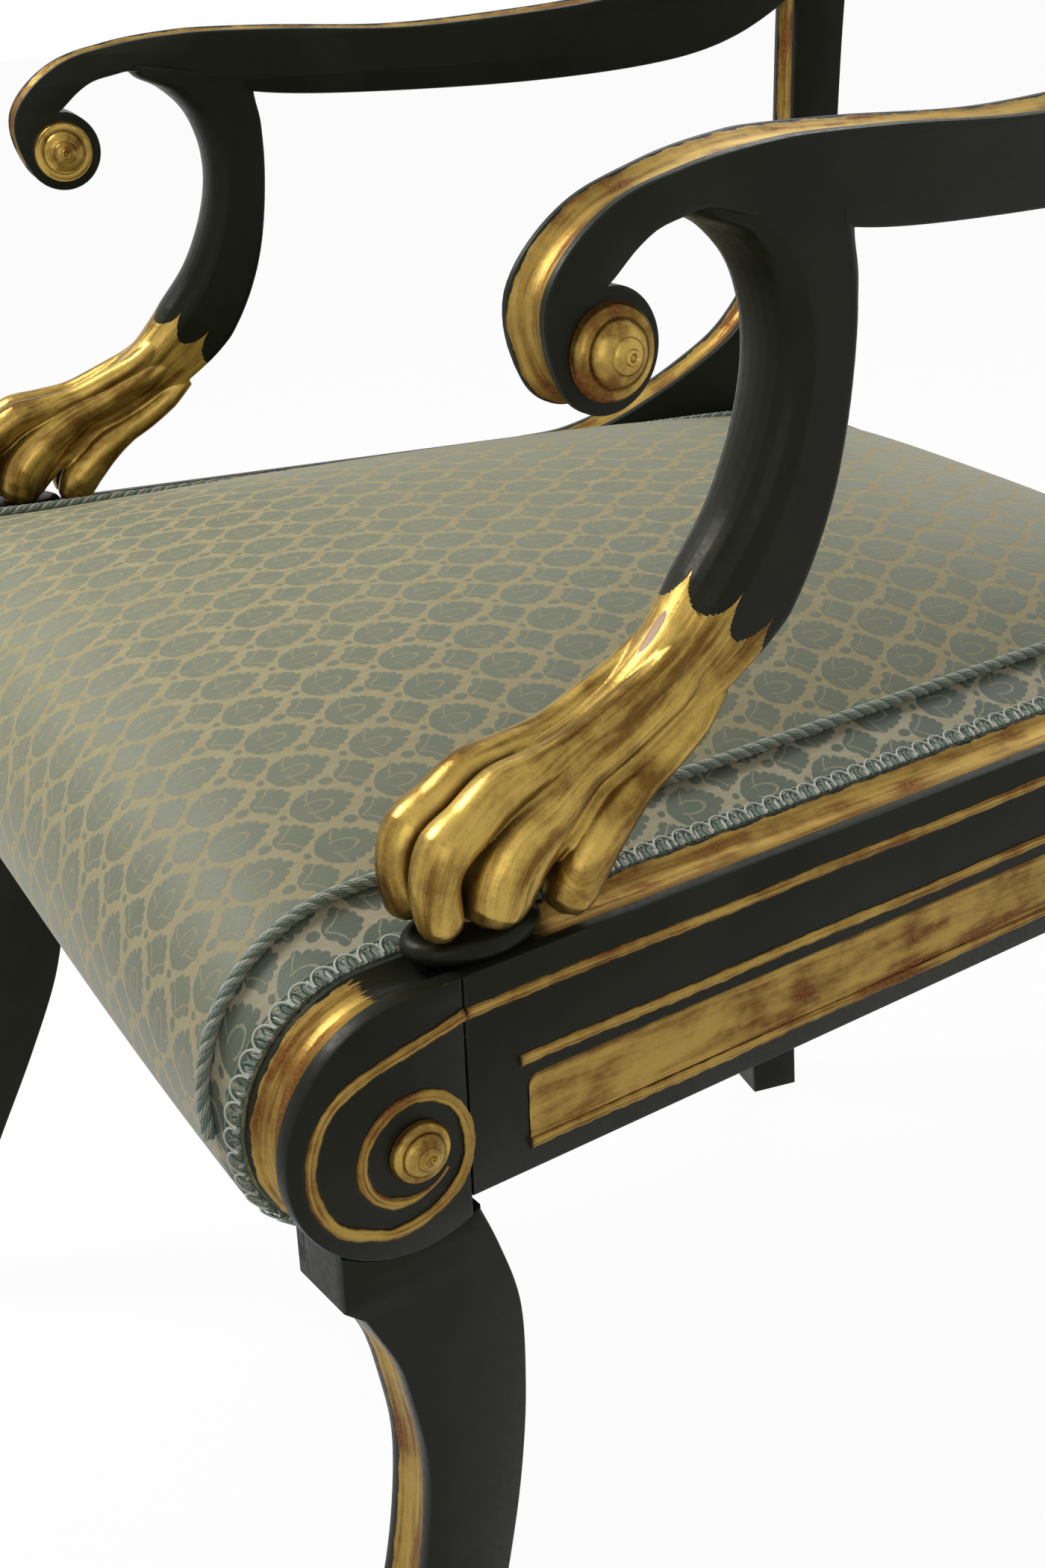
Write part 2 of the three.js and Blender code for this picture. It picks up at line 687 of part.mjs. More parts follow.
function armSupport() {
  const sections = supportShares.map(({ width }) => {
    return supportSectionShares.map(([w, v]) => [w * width * supportWidth / 2, v]);
  });
  const shank = loft(sections, (i, [w, v]) => {
    const edge = supportPlace(supportShares[i].back).lerp(supportPlace(supportShares[i].front), v);
    return new THREE.Vector3(w, edge.x, edge.y);
  });
  const toes = toePlaceShares.map((place) => toe(toePathShares, place, toeRadius));
  const sideToe = toe(sideToePathShares, sideToePlaceShares, sideToeRadius);
  const reach = 2 * supportBackset;
  const floor = box(-pawWidth, pawWidth, -reach, reach, ledgeTop, railTop + fit);
  return cut(join([shank, ...toes, sideToe]), [underArm(), padSolid(fit), floor]);
}

// Dowels of the side's joints, with the slack of their holes
function supportDowel(slack) {
  return rod(
    new THREE.Vector3(0, padBackset, railTop - dowelLength / 2 - slack),
    new THREE.Vector3(0, padBackset, soleLevel + dowelLength / 2 + slack),
    dowelRadius + slack,
  );
}

const armDowelShare = 0.7;

function armDowel(slack) {
  const level = armHeight + armDowelShare * armThickness;
  return rod(
    new THREE.Vector3(0, sideReach - dowelLength / 2 - slack, level),
    new THREE.Vector3(0, sideReach + postDepth / 2 + slack, level),
    dowelRadius + slack,
  );
}

function jointDowel(u, slack) {
  const w = (rimInner + rimFace) / 2;
  const z = (railBottom + railTop) / 2;
  const reach = dowelLength / 2 + slack;
  return rod(new THREE.Vector3(w, u - reach, z), new THREE.Vector3(w, u + reach, z), dowelRadius + slack);
}

function crestDowel(slack) {
  const w = (rimInner + rimFace) / 2;
  const u = sideReach + postRake + postDepth / 2;
  const reach = dowelLength / 2 + slack;
  return rod(
    new THREE.Vector3(w, u, crestBottom - reach),
    new THREE.Vector3(w, u, crestBottom + reach),
    dowelRadius + slack,
  );
}

// Cross rails, trimmed to the sides, each with a tenon at both ends
const tenonBorderShare = 0.25;

function tenonBox(face, thickness, bottom, height, slack) {
  const middle = face + thickness / 2;
  const half = tenonThickness / 2 + slack;
  const border = tenonBorderShare * height - slack;
  return box(-armSpread, armSpread, middle - half, middle + half, bottom + border, bottom + height - border);
}

function tenoned(body, shoulder, tenon) {
  const trimmed = body.intersect(roomBetween(shoulder - fit, 0, crestBottom));
  const ends = tenon.intersect(roomBetween(shoulder + tenonLength, 0, crestBottom));
  return join([trimmed, cut(ends, [roomBetween(shoulder - tenonLength, 0, crestBottom)])]);
}

function mortise(shoulder, tenon) {
  return moved(tenon.intersect(roomBetween(shoulder + tenonLength + fit, 0, crestBottom)), chairToSide);
}

const frontTenon = (slack) => tenonBox(frontRailFace, frontRailThickness, railBottom, ledgeTop - railBottom, slack);
const rearTenon = (slack) => tenonBox(rearRailFace, rearRailThickness, railBottom, ledgeTop - railBottom, slack);
const lowerTenon = (slack) => tenonBox(lowerRailFace, lowerRailThickness, lowerRailLevel, lowerRailHeight, slack);

function frontSeatRail() {
  const back = frontRailFace + frontRailThickness;
  const outline = [
    [frontRailFace, railBottom],
    [back, railBottom],
    [back, ledgeTop],
    [frontRailFace, ledgeTop],
  ];
  return tenoned(slab(outline, -armSpread, armSpread), tongueInner, frontTenon(0));
}

function rearSeatRail() {
  const back = rearRailFace + rearRailThickness;
  const rim = back - rearRimThickness;
  const outline = [
    [rearRailFace, railBottom],
    [back, railBottom],
    [back, railTop],
    [rim, railTop],
    [rim, ledgeTop],
    [rearRailFace, ledgeTop],
  ];
  return tenoned(slab(outline, -armSpread, armSpread), rimInner, rearTenon(0));
}

// A glued block in a corner of the seat, between the side at a given w and the cross rail's face.
// It reaches backward from the front rail, or forward from the rear rail.
function cornerBlock(w, face, toward) {
  const start = face + toward * fit;
  const end = start + toward * cornerBlockReach;
  const outline = [
    [sideX(w - fit, start) - cornerBlockReach, start],
    [sideX(w - fit, start), start],
    [sideX(w - fit, end), end],
  ];
  return plate(toward > 0 ? outline : outline.reverse(), railBottom + cornerBlockDrop, ledgeTop);
}

// Webbing, nailed on the ledges of the four rails, and the hessian over it
const webbingLevel = ledgeTop + fit;
const hessianLevel = webbingLevel + webbingThickness + fit;
const cushionFloor = hessianLevel + hessianThickness + fit;

function webbing() {
  const top = webbingLevel + webbingThickness;
  const front = frontRailFace + strapMargin;
  const back = rearRailFace + rearRailThickness - rearRimThickness - strapMargin;
  const straps = [];
  for (let i = 0; i < longStraps; i++) {
    const x = (i - (longStraps - 1) / 2) * longStrapPitch;
    straps.push(box(x - webbingWidth / 2, x + webbingWidth / 2, front, back, webbingLevel, top));
  }
  for (let i = 0; i < crossStraps; i++) {
    const y = crossStrapStart + i * crossStrapPitch;
    straps.push(box(-armSpread, armSpread, y - webbingWidth / 2, y + webbingWidth / 2, webbingLevel, top));
  }
  return join(straps).intersect(roomBetween(rimInner - strapMargin, webbingLevel - overrun, top + overrun));
}

function hessian() {
  const back = rearRailFace + rearRailThickness - rearRimThickness - strapMargin;
  const sheet = box(-armSpread, armSpread, frontRailFace, back, hessianLevel, hessianLevel + hessianThickness);
  return sheet.intersect(roomBetween(rimInner - strapMargin, hessianLevel - overrun, cushionFloor));
}

function dustCloth() {
  const top = railBottom - fit;
  const back = rearRailFace + rearRailThickness - strapMargin;
  const sheet = box(-armSpread, armSpread, frontRailFace + strapMargin, back, top - dustThickness, top);
  const cloth = sheet.intersect(roomBetween(ledgeInner + strapMargin, top - seatRailDepth, railTop));
  const gap = fit + strapMargin;
  const tongue = box(tongueInner - gap, armWidth, tongueFront - gap, tongueBack + gap, 0, railTop);
  const corner = moved(tongue, sideToChair);
  return cut(cloth, [corner, moved(corner, otherHand)]);
}

// Seat cushion. Each row is one line round the cushion, from the foot of the front to the back edge:
// y in shares of the seat's depth, z in shares from the apron's foot to the cord, at the side,
// at the cord and on the crown's middle line, then how far in the cord runs, in shares of the band.
const cushionRowShares = [
  { side: [0.084, 0.01], cord: [0.08, 0.01], crown: [0.077, 0.055], inset: 0.3 },
  { side: [0.0637, 0.04], cord: [0.058, 0.03], crown: [0.048, 0.076], inset: 0.3 },
  { side: [0.0386, 0.136], cord: [0.031, 0.116], crown: [0.023, 0.136], inset: 0.3 },
  { side: [0.0212, 0.277], cord: [0.0135, 0.257], crown: [0.0058, 0.267], inset: 0.32 },
  { side: [0.0145, 0.449], cord: [0.0058, 0.4385], crown: [0, 0.459], inset: 0.38 },
  { side: [0.0203, 0.61], cord: [0.0077, 0.63], crown: [0.002, 0.65], inset: 0.52 },
  { side: [0.0386, 0.761], cord: [0.0232, 0.796], crown: [0.0154, 0.842], inset: 0.7 },
  { side: [0.0656, 0.862], cord: [0.0521, 0.922], crown: [0.0425, 1.01], inset: 0.86 },
  { side: [0.102, 0.902], cord: [0.0946, 0.993], crown: [0.0869, 1.147], inset: 1 },
  { side: [0.18, 0.902], cord: [0.18, 1], crown: [0.18, 1.268], inset: 1 },
  { side: [0.3, 0.902], cord: [0.3, 1], crown: [0.3, 1.345], inset: 1 },
  { side: [0.45, 0.902], cord: [0.45, 1], crown: [0.45, 1.375], inset: 1 },
  { side: [0.74, 0.902], cord: [0.74, 1], crown: [0.74, 1.345], inset: 1 },
  { side: [0.913, 0.902], cord: [0.913, 0.996], crown: [0.913, 1.19], inset: 1 },
  { side: [0.975, 0.897], cord: [0.975, 0.963], crown: [0.975, 1.036], inset: 1 },
  { side: [0.998, 0.88], cord: [0.998, 0.892], crown: [0.998, 0.912], inset: 1 },
  { side: [1, 0.73], cord: [1, 0.73], crown: [1, 0.73], inset: 1 },
];
const crownPlaceShares = [0, 0.22, 0.43, 0.6, 0.74, 0.86, 0.94, 1];
const gimpPlaceShares = [0.68, 0.94];
const bandPlaceShares = [0.35, ...gimpPlaceShares, 1];
const crownLiftShare = 0.375;
const crownPower = 3;
const apronFoot = railTop - apronDrop;
const cordLevel = railTop + bandRise;
const cushionSide = rimInner - fit;

function cushionPlace([y, z]) {
  const rise = z > 1 ? (z - 1) * crownRise / crownLiftShare : 0;
  const level = apronFoot + Math.min(z, 1) * (cordLevel - apronFoot) + rise;
  return new THREE.Vector2(seatFront + y * (seatBack - seatFront), level);
}

// One line round the cushion: on the crown, at a share of the way from the middle to the cord,
// or on the side band, at a share of the way from the cord to the side
function cushionLine(onBand, share) {
  const points = cushionRowShares.map(({ side, cord, crown, inset }) => {
    const edge = cushionPlace(cord);
    const w = cushionSide - inset * bandWidth * (onBand ? 1 - share : 1);
    const place = onBand ? edge.lerp(cushionPlace(side), share) : cushionPlace(crown).lerp(edge, share ** crownPower);
    const x = sideX(w, place.x) * (onBand ? 1 : share);
    return new THREE.Vector3(x, place.x, place.y);
  });
  return new THREE.CatmullRomCurve3(points, false, "centripetal").getPoints(cushionSteps);
}

function padNotch() {
  const low = railTop;
  const high = cordLevel + cordRadius;
  const geometry = geometryOf(turned([[0, low], [1, low], [1, high], [0, high]], padSides)).rotateX(Math.PI / 2);
  geometry.scale(padWidth / 2 + padRoom, padLength / 2 + padRoom, 1);
  return moved(solidOf(geometry.translate(pawOffset, padBackset, 0)), sideToChair);
}

function cushion() {
  const half = [
    ...crownPlaceShares.map((share) => cushionLine(false, share)),
    ...bandPlaceShares.map((share) => cushionLine(true, share)),
  ];
  const other = half.slice(1).reverse().map((line) => line.map(({ x, y, z }) => new THREE.Vector3(-x, y, z)));
  const back = frontRailFace - fit;
  const rings = [...other, ...half].map((line) => {
    const first = line[0];
    const last = line[line.length - 1];
    const x = THREE.MathUtils.mapLinear(back, first.y, last.y, first.x, last.x);
    const foot = [[last.y, cushionFloor, last.x], [back, cushionFloor, x], [back, apronFoot, x]];
    return [...line.slice(0, -1).map((point) => [point.y, point.z, point.x]), ...foot];
  });
  const body = loft(rings, (i, [y, z, x]) => new THREE.Vector3(x, y, z));
  return cut(body, [padNotch(), moved(padNotch(), otherHand)]);
}

// The surface's direction along a line and square to it, where another line lies further inward
function cushionFrame(line, inward, i) {
  const along = line[Math.min(i + 1, line.length - 1)].clone().sub(line[Math.max(i - 1, 0)]).normalize();
  const across = inward[i].clone().sub(line[i]);
  const normal = along.clone().cross(across).normalize();
  return { normal, across: normal.clone().cross(along) };
}

// Cord on the seam between the crown and the side band
function sideCord() {
  const seam = cushionLine(false, 1).slice(cordSkipSteps);
  const crown = cushionLine(false, crownPlaceShares[crownPlaceShares.length - 2]).slice(cordSkipSteps);
  const band = cushionLine(true, bandPlaceShares[0]).slice(cordSkipSteps);
  const section = arc(0, 0, cordRadius, 0, fullTurnDegrees, cordSides).slice(1);
  const cord = loft(seam.map(() => section), (i, [a, b]) => {
    const inner = cushionFrame(seam, crown, i);
    const outer = cushionFrame(band, seam, i);
    const normal = inner.normal.add(outer.normal).normalize();
    const lift = cordRadius + fit + b;
    return seam[i].clone().addScaledVector(normal, lift).addScaledVector(inner.across, a);
  });
  return cut(cord, [box(0, armSpread, seatBack - strapMargin, sideReach + postDepth, 0, postHeight)]);
}

// Looped braid along the outer edge of the side band, in two lengths, before and behind the paw
function sideGimp() {
  const [innerShare, outerShare] = gimpPlaceShares;
  const outer = cushionLine(true, outerShare).slice(gimpSkipSteps);
  const inner = cushionLine(true, innerShare).slice(gimpSkipSteps);
  const section = [[0, fit], [1, fit], [1, fit + gimpThickness], [0, fit + gimpThickness]];
  return loft(outer.map(() => section), (i, [place, lift]) => {
    const { normal } = cushionFrame(outer, inner, i);
    return outer[i].clone().lerp(inner[i], place).addScaledVector(normal, lift);
  });
}

function gimpLength(from, to) {
  const [front, back] = [from, to].map((u) => u * Math.cos(splay));
  const length = box(0, armSpread, front, back, 0, postHeight);
  return cut(sideGimp().intersect(length), [padNotch()]);
}

// Bowed pieces of the back: in plan an arc between the stiles, thick from one depth to another
const bowSteps = 16;

function bowed(face, bow, from, to, reach, bottom, top) {
  const stile = sideX(rimInner, face);
  const edge = (depth) => {
    return Array.from({ length: bowSteps + 1 }, (_, i) => {
      const x = THREE.MathUtils.lerp(-reach, reach, i / bowSteps);
      return [x, face + bow * (1 - (x / stile) ** 2) + depth];
    });
  };
  return plate([...edge(from), ...edge(to).reverse()], bottom, top);
}

function mirroredOutline(half) {
  const other = half.slice(1, -1).reverse().map(([x, z]) => [-x, z]);
  return [...half, ...other];
}

function lowerBackRail() {
  const top = lowerRailTop;
  const body = bowed(lowerRailFace, lowerRailBow, 0, lowerRailThickness, armSpread, lowerRailLevel, top);
  return tenoned(body, rimInner, lowerTenon(0));
}

const crestEdgeShares = [
  [0.93, 0], [0.985, 0.15], [1, 0.38], [0.95, 0.55], [0.86, 0.62], [0.72, 0.62], [0.5, 0.74],
  [0.36, 0.86], [0.305, 0.93], [0.3, 0.98], [0.27, 1],
];
const crestPanelShares = [
  [0, 0.2], [0.84, 0.2], [0.88, 0.3], [0.84, 0.42], [0.7, 0.44], [0.48, 0.56], [0.3, 0.72],
  [0.25, 0.82], [0, 0.82],
];
const crestSteps = 24;

function crestPoints(shares) {
  return shares.map(([x, z]) => [x * crestReach, crestBottom + z * crestHeight]);
}

function crestRail() {
  const top = crestBottom + crestHeight;
  const edge = smooth(crestPoints(crestEdgeShares), crestSteps);
  const outline = mirroredOutline([[0, crestBottom], ...edge, [0, top]]);
  const deep = crestFace + crestBow + crestThickness;
  const bow = bowed(crestFace, crestBow, 0, crestThickness, crestReach, crestBottom, top);
  const panelBow = bowed(crestFace, crestBow, -overrun, crestPanelDepth, crestReach, crestBottom, top);
  const recess = panel(mirroredOutline(crestPoints(crestPanelShares)), 0, deep).intersect(panelBow);
  return cut(panel(outline, 0, deep).intersect(bow), [recess]);
}

// Lyre, drawn upright in x and z round y = 0, then leant back between the lower rail and the crest
const lyreFoot = lowerRailTop + fit;
const hornFoot = lyreFoot + soundBoxHeight + fit;
const hornRise = postHeight - hornFoot;
const footDepthLevel = lowerRailFace + lowerRailBow + lowerRailThickness / 2;
const headDepthLevel = crestFace + crestBow + crestThickness / 2;
const lyreRake = (headDepthLevel - footDepthLevel) / (crestBottom - lowerRailTop);
const lyreLean = new THREE.Matrix4().set(
  1, 0, 0, 0,
  0, 1, lyreRake, footDepthLevel - lyreRake * lowerRailTop,
  0, 0, 1, 0,
  0, 0, 0, 1,
);
const soundBoxFootShares = [[0, 0], [0.72, 0], [0.72, 0.13], [0.62, 0.2]];
const soundBoxCurveShares = [
  [0.3, 0.27], [0.23, 0.38], [0.34, 0.5], [0.62, 0.58], [0.86, 0.7], [0.97, 0.86], [1, 1],
];
const soundBoxTopShares = [[0.745, 1], [0.63, 0.87], [0.51, 0.8], [0, 0.8]];
const soundBoxFloorShare = 0.8;
const hornLineShares = [
  [0.872, -0.04, 1], [0.968, 0.14, 1], [0.979, 0.305, 0.92], [0.872, 0.46, 0.83], [0.745, 0.6, 0.77],
  [0.67, 0.73, 0.73], [0.7, 0.845, 0.73], [0.85, 0.885, 0.67],
];
const hornEyeShare = 0.85;
const hornSteps = 18;
const eyeSteps = 20;
const yokeShare = 0.67;
const yokeLevel = hornFoot + yokeShare * hornRise;
const lyreCurveSteps = 12;

function soundBoxPoints(shares) {
  return shares.map(([x, z]) => [x * lyreHalfWidth, lyreFoot + z * soundBoxHeight]);
}

function soundBox() {
  const half = [
    ...soundBoxPoints(soundBoxFootShares),
    ...smooth(soundBoxPoints(soundBoxCurveShares), lyreCurveSteps),
    ...soundBoxPoints(soundBoxTopShares),
  ];
  return panel(mirroredOutline(half), -soundBoxThickness / 2, soundBoxThickness / 2);
}

function horn(slack) {
  const points = hornLineShares.map(([x, z]) => [x * lyreHalfWidth, hornFoot + z * hornRise]);
  const line = smooth(points, hornSteps);
  const widthAt = (i) => {
    const place = i / hornSteps * (hornLineShares.length - 1);
    const k = Math.min(Math.floor(place), hornLineShares.length - 2);
    const share = THREE.MathUtils.lerp(hornLineShares[k][2], hornLineShares[k + 1][2], place - k);
    return share * hornWidth / 2 + slack;
  };
  const edge = (side) => line.map(([x, z], i) => {
    const along = directionAt(line, i);
    return [x - along.y * side * widthAt(i), z + along.x * side * widthAt(i)];
  });
  const half = hornThickness / 2 + slack;
  const ribbon = panel([...edge(-1), ...edge(1).reverse()], -half, half);
  const eyeCentre = [hornEyeShare * lyreHalfWidth, postHeight - hornEyeRadius];
  const eye = panel(arc(...eyeCentre, hornEyeRadius + slack, 0, fullTurnDegrees, eyeSteps).slice(1), -half, half);
  const below = box(0, armSpread, -armWidth, armWidth, lyreFoot, hornFoot - slack);
  return cut(join([ribbon, eye]), [below]);
}

function yoke() {
  const reach = hornEyeShare * lyreHalfWidth;
  const bar = rod(
    new THREE.Vector3(-hornEyeShare * reach, 0, yokeLevel),
    new THREE.Vector3(hornEyeShare * reach, 0, yokeLevel),
    yokeRadius,
  );
  return cut(bar, [horn(fit), moved(horn(fit), otherHand)]);
}

function lyreString(i) {
  const x = (i - (strings - 1) / 2) * stringPitch;
  return rod(
    new THREE.Vector3(x, 0, lyreFoot + soundBoxFloorShare * soundBoxHeight + fit),
    new THREE.Vector3(x, 0, yokeLevel - yokeRadius - fit),
    stringRadius,
    cordSides,
  );
}

function rosette() {
  const geometry = geometryOf(turned(bossProfile(rosetteRadius, rosetteHeight))).rotateX(Math.PI);
  const x = hornEyeShare * lyreHalfWidth;
  return solidOf(geometry.translate(x, -hornThickness / 2 - fit, postHeight - hornEyeRadius));
}

// The assembly
const jointHoles = [jointFront, jointRear].map((u) => jointDowel(u, fit));
const postHoles = [
  armDowel(fit),
  jointDowel(jointRear, fit),
  crestDowel(fit),
  mortise(rimInner, rearTenon(fit)),
  mortise(rimInner, lowerTenon(fit)),
];
const crestHole = moved(crestDowel(fit), sideToChair);
const gimpFront = scrollBackset - 2 * scrollRadius;
const gimpEnd = seatBack - gimpMargin;

addPair("front_leg", cut(frontLeg(), [mortise(tongueInner, frontTenon(fit))]), paint);
addPair("scroll_block", cut(scrollBlock(), [jointHoles[0]]), paint);
addPair("side_rail", cut(sideRail(), [supportDowel(fit), ...jointHoles]), paint);
addPair("rear_post", cut(rearPost(), postHoles), paint);
addPair("arm", cut(arm(), [armDowel(fit)]), paint);
addPair("arm_support", cut(armSupport(), [supportDowel(fit)]), paint);
addPair("paw_pad", cut(padSolid(0), [supportDowel(fit)]), paint);
addPair("support_dowel", supportDowel(0), beech);
addPair("arm_dowel", armDowel(0), beech);
addPair("front_joint_dowel", jointDowel(jointFront, 0), beech);
addPair("rear_joint_dowel", jointDowel(jointRear, 0), beech);
addPair("crest_dowel", crestDowel(0), beech);
addPair("arm_boss_outer", boss(armBossRadius, armBossHeight, armWidth / 2 + fit, 0, eyeLevel, 1), gilt);
addPair("arm_boss_inner", boss(armBossRadius, armBossHeight, eyeInner - fit, 0, eyeLevel, -1), gilt);
const scrollBoss = boss(scrollBossRadius, scrollBossHeight, rimFace + fit, scrollBackset, spiralEye, 1);
addPair("scroll_boss", scrollBoss, gilt);

addMesh(chair, "front_seat_rail", frontSeatRail(), beech);
addMesh(chair, "rear_seat_rail", rearSeatRail(), paint);
const frontRailBack = frontRailFace + frontRailThickness;
addPair("front_corner_block", cornerBlock(ledgeInner, frontRailBack, 1), beech, chair, chair);
addPair("rear_corner_block", cornerBlock(rimInner, rearRailFace, -1), beech, chair, chair);
addMesh(chair, "lower_back_rail", lowerBackRail(), paint);
addMesh(chair, "crest_rail", cut(crestRail(), [crestHole, moved(crestHole, otherHand)]), paint);

addMesh(chair, "lyre_sound_box", moved(soundBox(), lyreLean), gilt);
addPair("lyre_horn", moved(horn(0), lyreLean), gilt, chair, chair);
addMesh(chair, "lyre_yoke", moved(yoke(), lyreLean), gilt);
for (let i = 0; i < strings; i++) {
  addMesh(chair, `lyre_string_${i + 1}`, moved(lyreString(i), lyreLean), brass);
}
addPair("lyre_rosette", moved(rosette(), lyreLean), gilt, chair, chair);

addMesh(chair, "seat_webbing", webbing(), jute);
addMesh(chair, "seat_hessian", hessian(), jute);
addMesh(chair, "dust_cloth", dustCloth(), cambric);
addMesh(chair, "seat_cushion", cushion(), damask);
addPair("side_piping", sideCord(), cordYarn, chair, chair);
addPair("front_gimp", gimpLength(gimpFront, padBackset), cordYarn, chair, chair);
addPair("rear_gimp", gimpLength(padBackset, gimpEnd), cordYarn, chair, chair);

// The origin lies on the floor, in the middle of the chair's length
const extent = new THREE.Box3().setFromObject(chair);
chair.position.setY(-(extent.min.y + extent.max.y) / 2);

export default chair;
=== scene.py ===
"""The looks of a lyre back armchair: black-green paint, water gilding, and a tight damask seat.

Sizes are in millimetres and become metres when a mesh is made. Each side of the chair has a frame of its
own, turned by the splay: w runs outward of the arm's middle plane, u backward of its eye, and z up.
"""

import math
from functools import partial

import bpy
import bmesh
import numpy as np
from mathutils import Matrix, Vector
from mathutils.geometry import tessellate_polygon


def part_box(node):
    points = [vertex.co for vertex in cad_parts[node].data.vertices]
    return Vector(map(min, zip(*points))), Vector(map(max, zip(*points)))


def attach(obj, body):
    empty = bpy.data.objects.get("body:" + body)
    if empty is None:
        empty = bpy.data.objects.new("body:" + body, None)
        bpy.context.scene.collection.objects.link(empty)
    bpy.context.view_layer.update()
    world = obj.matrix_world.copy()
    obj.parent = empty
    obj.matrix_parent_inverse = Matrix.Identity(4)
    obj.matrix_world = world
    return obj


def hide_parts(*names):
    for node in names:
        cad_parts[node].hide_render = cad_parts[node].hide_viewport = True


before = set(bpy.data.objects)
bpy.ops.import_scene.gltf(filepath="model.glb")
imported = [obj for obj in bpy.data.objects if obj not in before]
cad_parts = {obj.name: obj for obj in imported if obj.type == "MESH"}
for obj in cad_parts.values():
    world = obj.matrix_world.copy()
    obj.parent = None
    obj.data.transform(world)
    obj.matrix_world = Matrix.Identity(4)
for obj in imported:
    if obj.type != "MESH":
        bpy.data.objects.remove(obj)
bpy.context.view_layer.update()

METRE = 1000.0
BODY = "root"

# Sizes that the solids share
SPLAY = math.radians(7.6)
ARM_SPREAD = 500
SIDE_REACH = 390
RAIL_TOP = 461
APRON_FOOT = RAIL_TOP - 89.5
RAIL_DEPTH = 79
RAIL_BOTTOM = RAIL_TOP - RAIL_DEPTH
RAIL_REACH = 295
RIM_OUTER = 19
RIM_INNER = -6
RIM_BORDER = 4
LEDGE_INNER = -20
LEDGE_TOP = RAIL_TOP - 20
HOLLOW_DEPTH = 4
JOINT_GAP = 0.3
ARM_HEIGHT = 685
ARM_THICKNESS = 29
ARM_WIDTH = 30
EYE_RADIUS = 18
EYE_LEVEL = ARM_HEIGHT - 49.5
EYE_INNER = -6
TAPER_START = 70
TAPER_END = 15
ARM_BOSS_RADIUS = 14
ARM_BOSS_HEIGHT = 11
SCROLL_RADIUS = 45
SCROLL_BACKSET = -80
SCROLL_LEVEL = RAIL_TOP - SCROLL_RADIUS
JOINT_FRONT = SCROLL_BACKSET + 19
JOINT_REAR = JOINT_FRONT + RAIL_REACH
SPIRAL_EYE = SCROLL_LEVEL - 0.18 * SCROLL_RADIUS
PAD_BACKSET = -46
PAD_OFFSET = 1.5
SOLE_LEVEL = RAIL_TOP + 7.6
SUPPORT_RISE = ARM_HEIGHT - SOLE_LEVEL
SUPPORT_BACKSET = 95
LEG_REACH = 100
ARRIS = 1.1

# The pad's middle places the side frames in the chair's length
pad_low, pad_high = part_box("paw_pad_right")
pad_middle = (pad_low.y + pad_high.y) / 2 * METRE
CHAIR_SHIFT = pad_middle - PAD_OFFSET * math.sin(SPLAY) - PAD_BACKSET * math.cos(SPLAY)


def to_chair(points):
    """Points (w, u, z) of the right side, as x, y and z of the chair."""
    w, u, z = np.asarray(points, float).T
    x = ARM_SPREAD / 2 + w * math.cos(SPLAY) - u * math.sin(SPLAY)
    y = w * math.sin(SPLAY) + u * math.cos(SPLAY) + CHAIR_SHIFT
    return np.stack([x, y, z], 1)


def with_ends(points):
    """The points with one more past each end, as a curve through them needs."""
    p = np.asarray(points, float)
    return np.vstack([2 * p[0] - p[1], p, 2 * p[-1] - p[-2]])


def between(a, b, c, d, t):
    """The place at the share t from b to c on the centripetal curve through four points."""
    ta, tb, tc = (np.sqrt(np.linalg.norm(q - r)) for q, r in ((b, a), (c, b), (d, c)))
    m1 = tb * ((b - a) / ta - (c - a) / (ta + tb) + (c - b) / tb)
    m2 = tb * ((c - b) / tb - (d - b) / (tb + tc) + (d - c) / tc)
    start = (2 * t**3 - 3 * t**2 + 1) * b + (t**3 - 2 * t**2 + t) * m1
    return start + (3 * t**2 - 2 * t**3) * c + (t**3 - t**2) * m2


def lengths_along(curve):
    """How far along a polyline each of its points is."""
    return np.concatenate([[0], np.cumsum(np.linalg.norm(np.diff(curve, axis=0), axis=1))])


def unit(rows):
    """Each row of vectors at length one."""
    return rows / np.linalg.norm(rows, axis=1)[:, None]


def smooth(points, steps):
    """A centripetal Catmull-Rom curve through the points, cut at even lengths."""
    p = with_ends(points)
    fine = 24
    spans = zip(p[:-3], p[1:-2], p[2:-1], p[3:])
    curve = [between(*span, t) for span in spans for t in np.arange(fine) / fine]
    return evenly(np.vstack([curve, p[-2]]), steps)


def evenly(curve, steps):
    """A polyline cut into that many steps of one length."""
    lengths = lengths_along(curve)
    places = np.linspace(0, lengths[-1], steps + 1)
    return np.stack([np.interp(places, lengths, column) for column in curve.T], 1)


def arc(centre, radius, start, end, steps):
    """Points on a circle, from one angle in degrees to another."""
    angles = np.radians(np.linspace(start, end, steps + 1))
    return np.stack([centre[0] + radius * np.cos(angles), centre[1] + radius * np.sin(angles)], 1)


def outward(outline):
    """The outward direction at each point of a closed outline, longer at a corner."""
    edges = np.roll(outline, -1, 0) - outline
    edges /= np.linalg.norm(edges, axis=1)[:, None] + 1e-9
    before = np.roll(edges, 1, 0)
    turn = edges + before
    turn /= np.linalg.norm(turn, axis=1)[:, None] + 1e-9
    square = np.stack([turn[:, 1], -turn[:, 0]], 1)
    x, y = outline.T
    if np.sum(x * np.roll(y, -1) - y * np.roll(x, -1)) < 0:
        square = -square
    stretch = 1 / np.clip(np.sum(turn * edges, 1), 0.7, 1)
    return square * stretch[:, None]


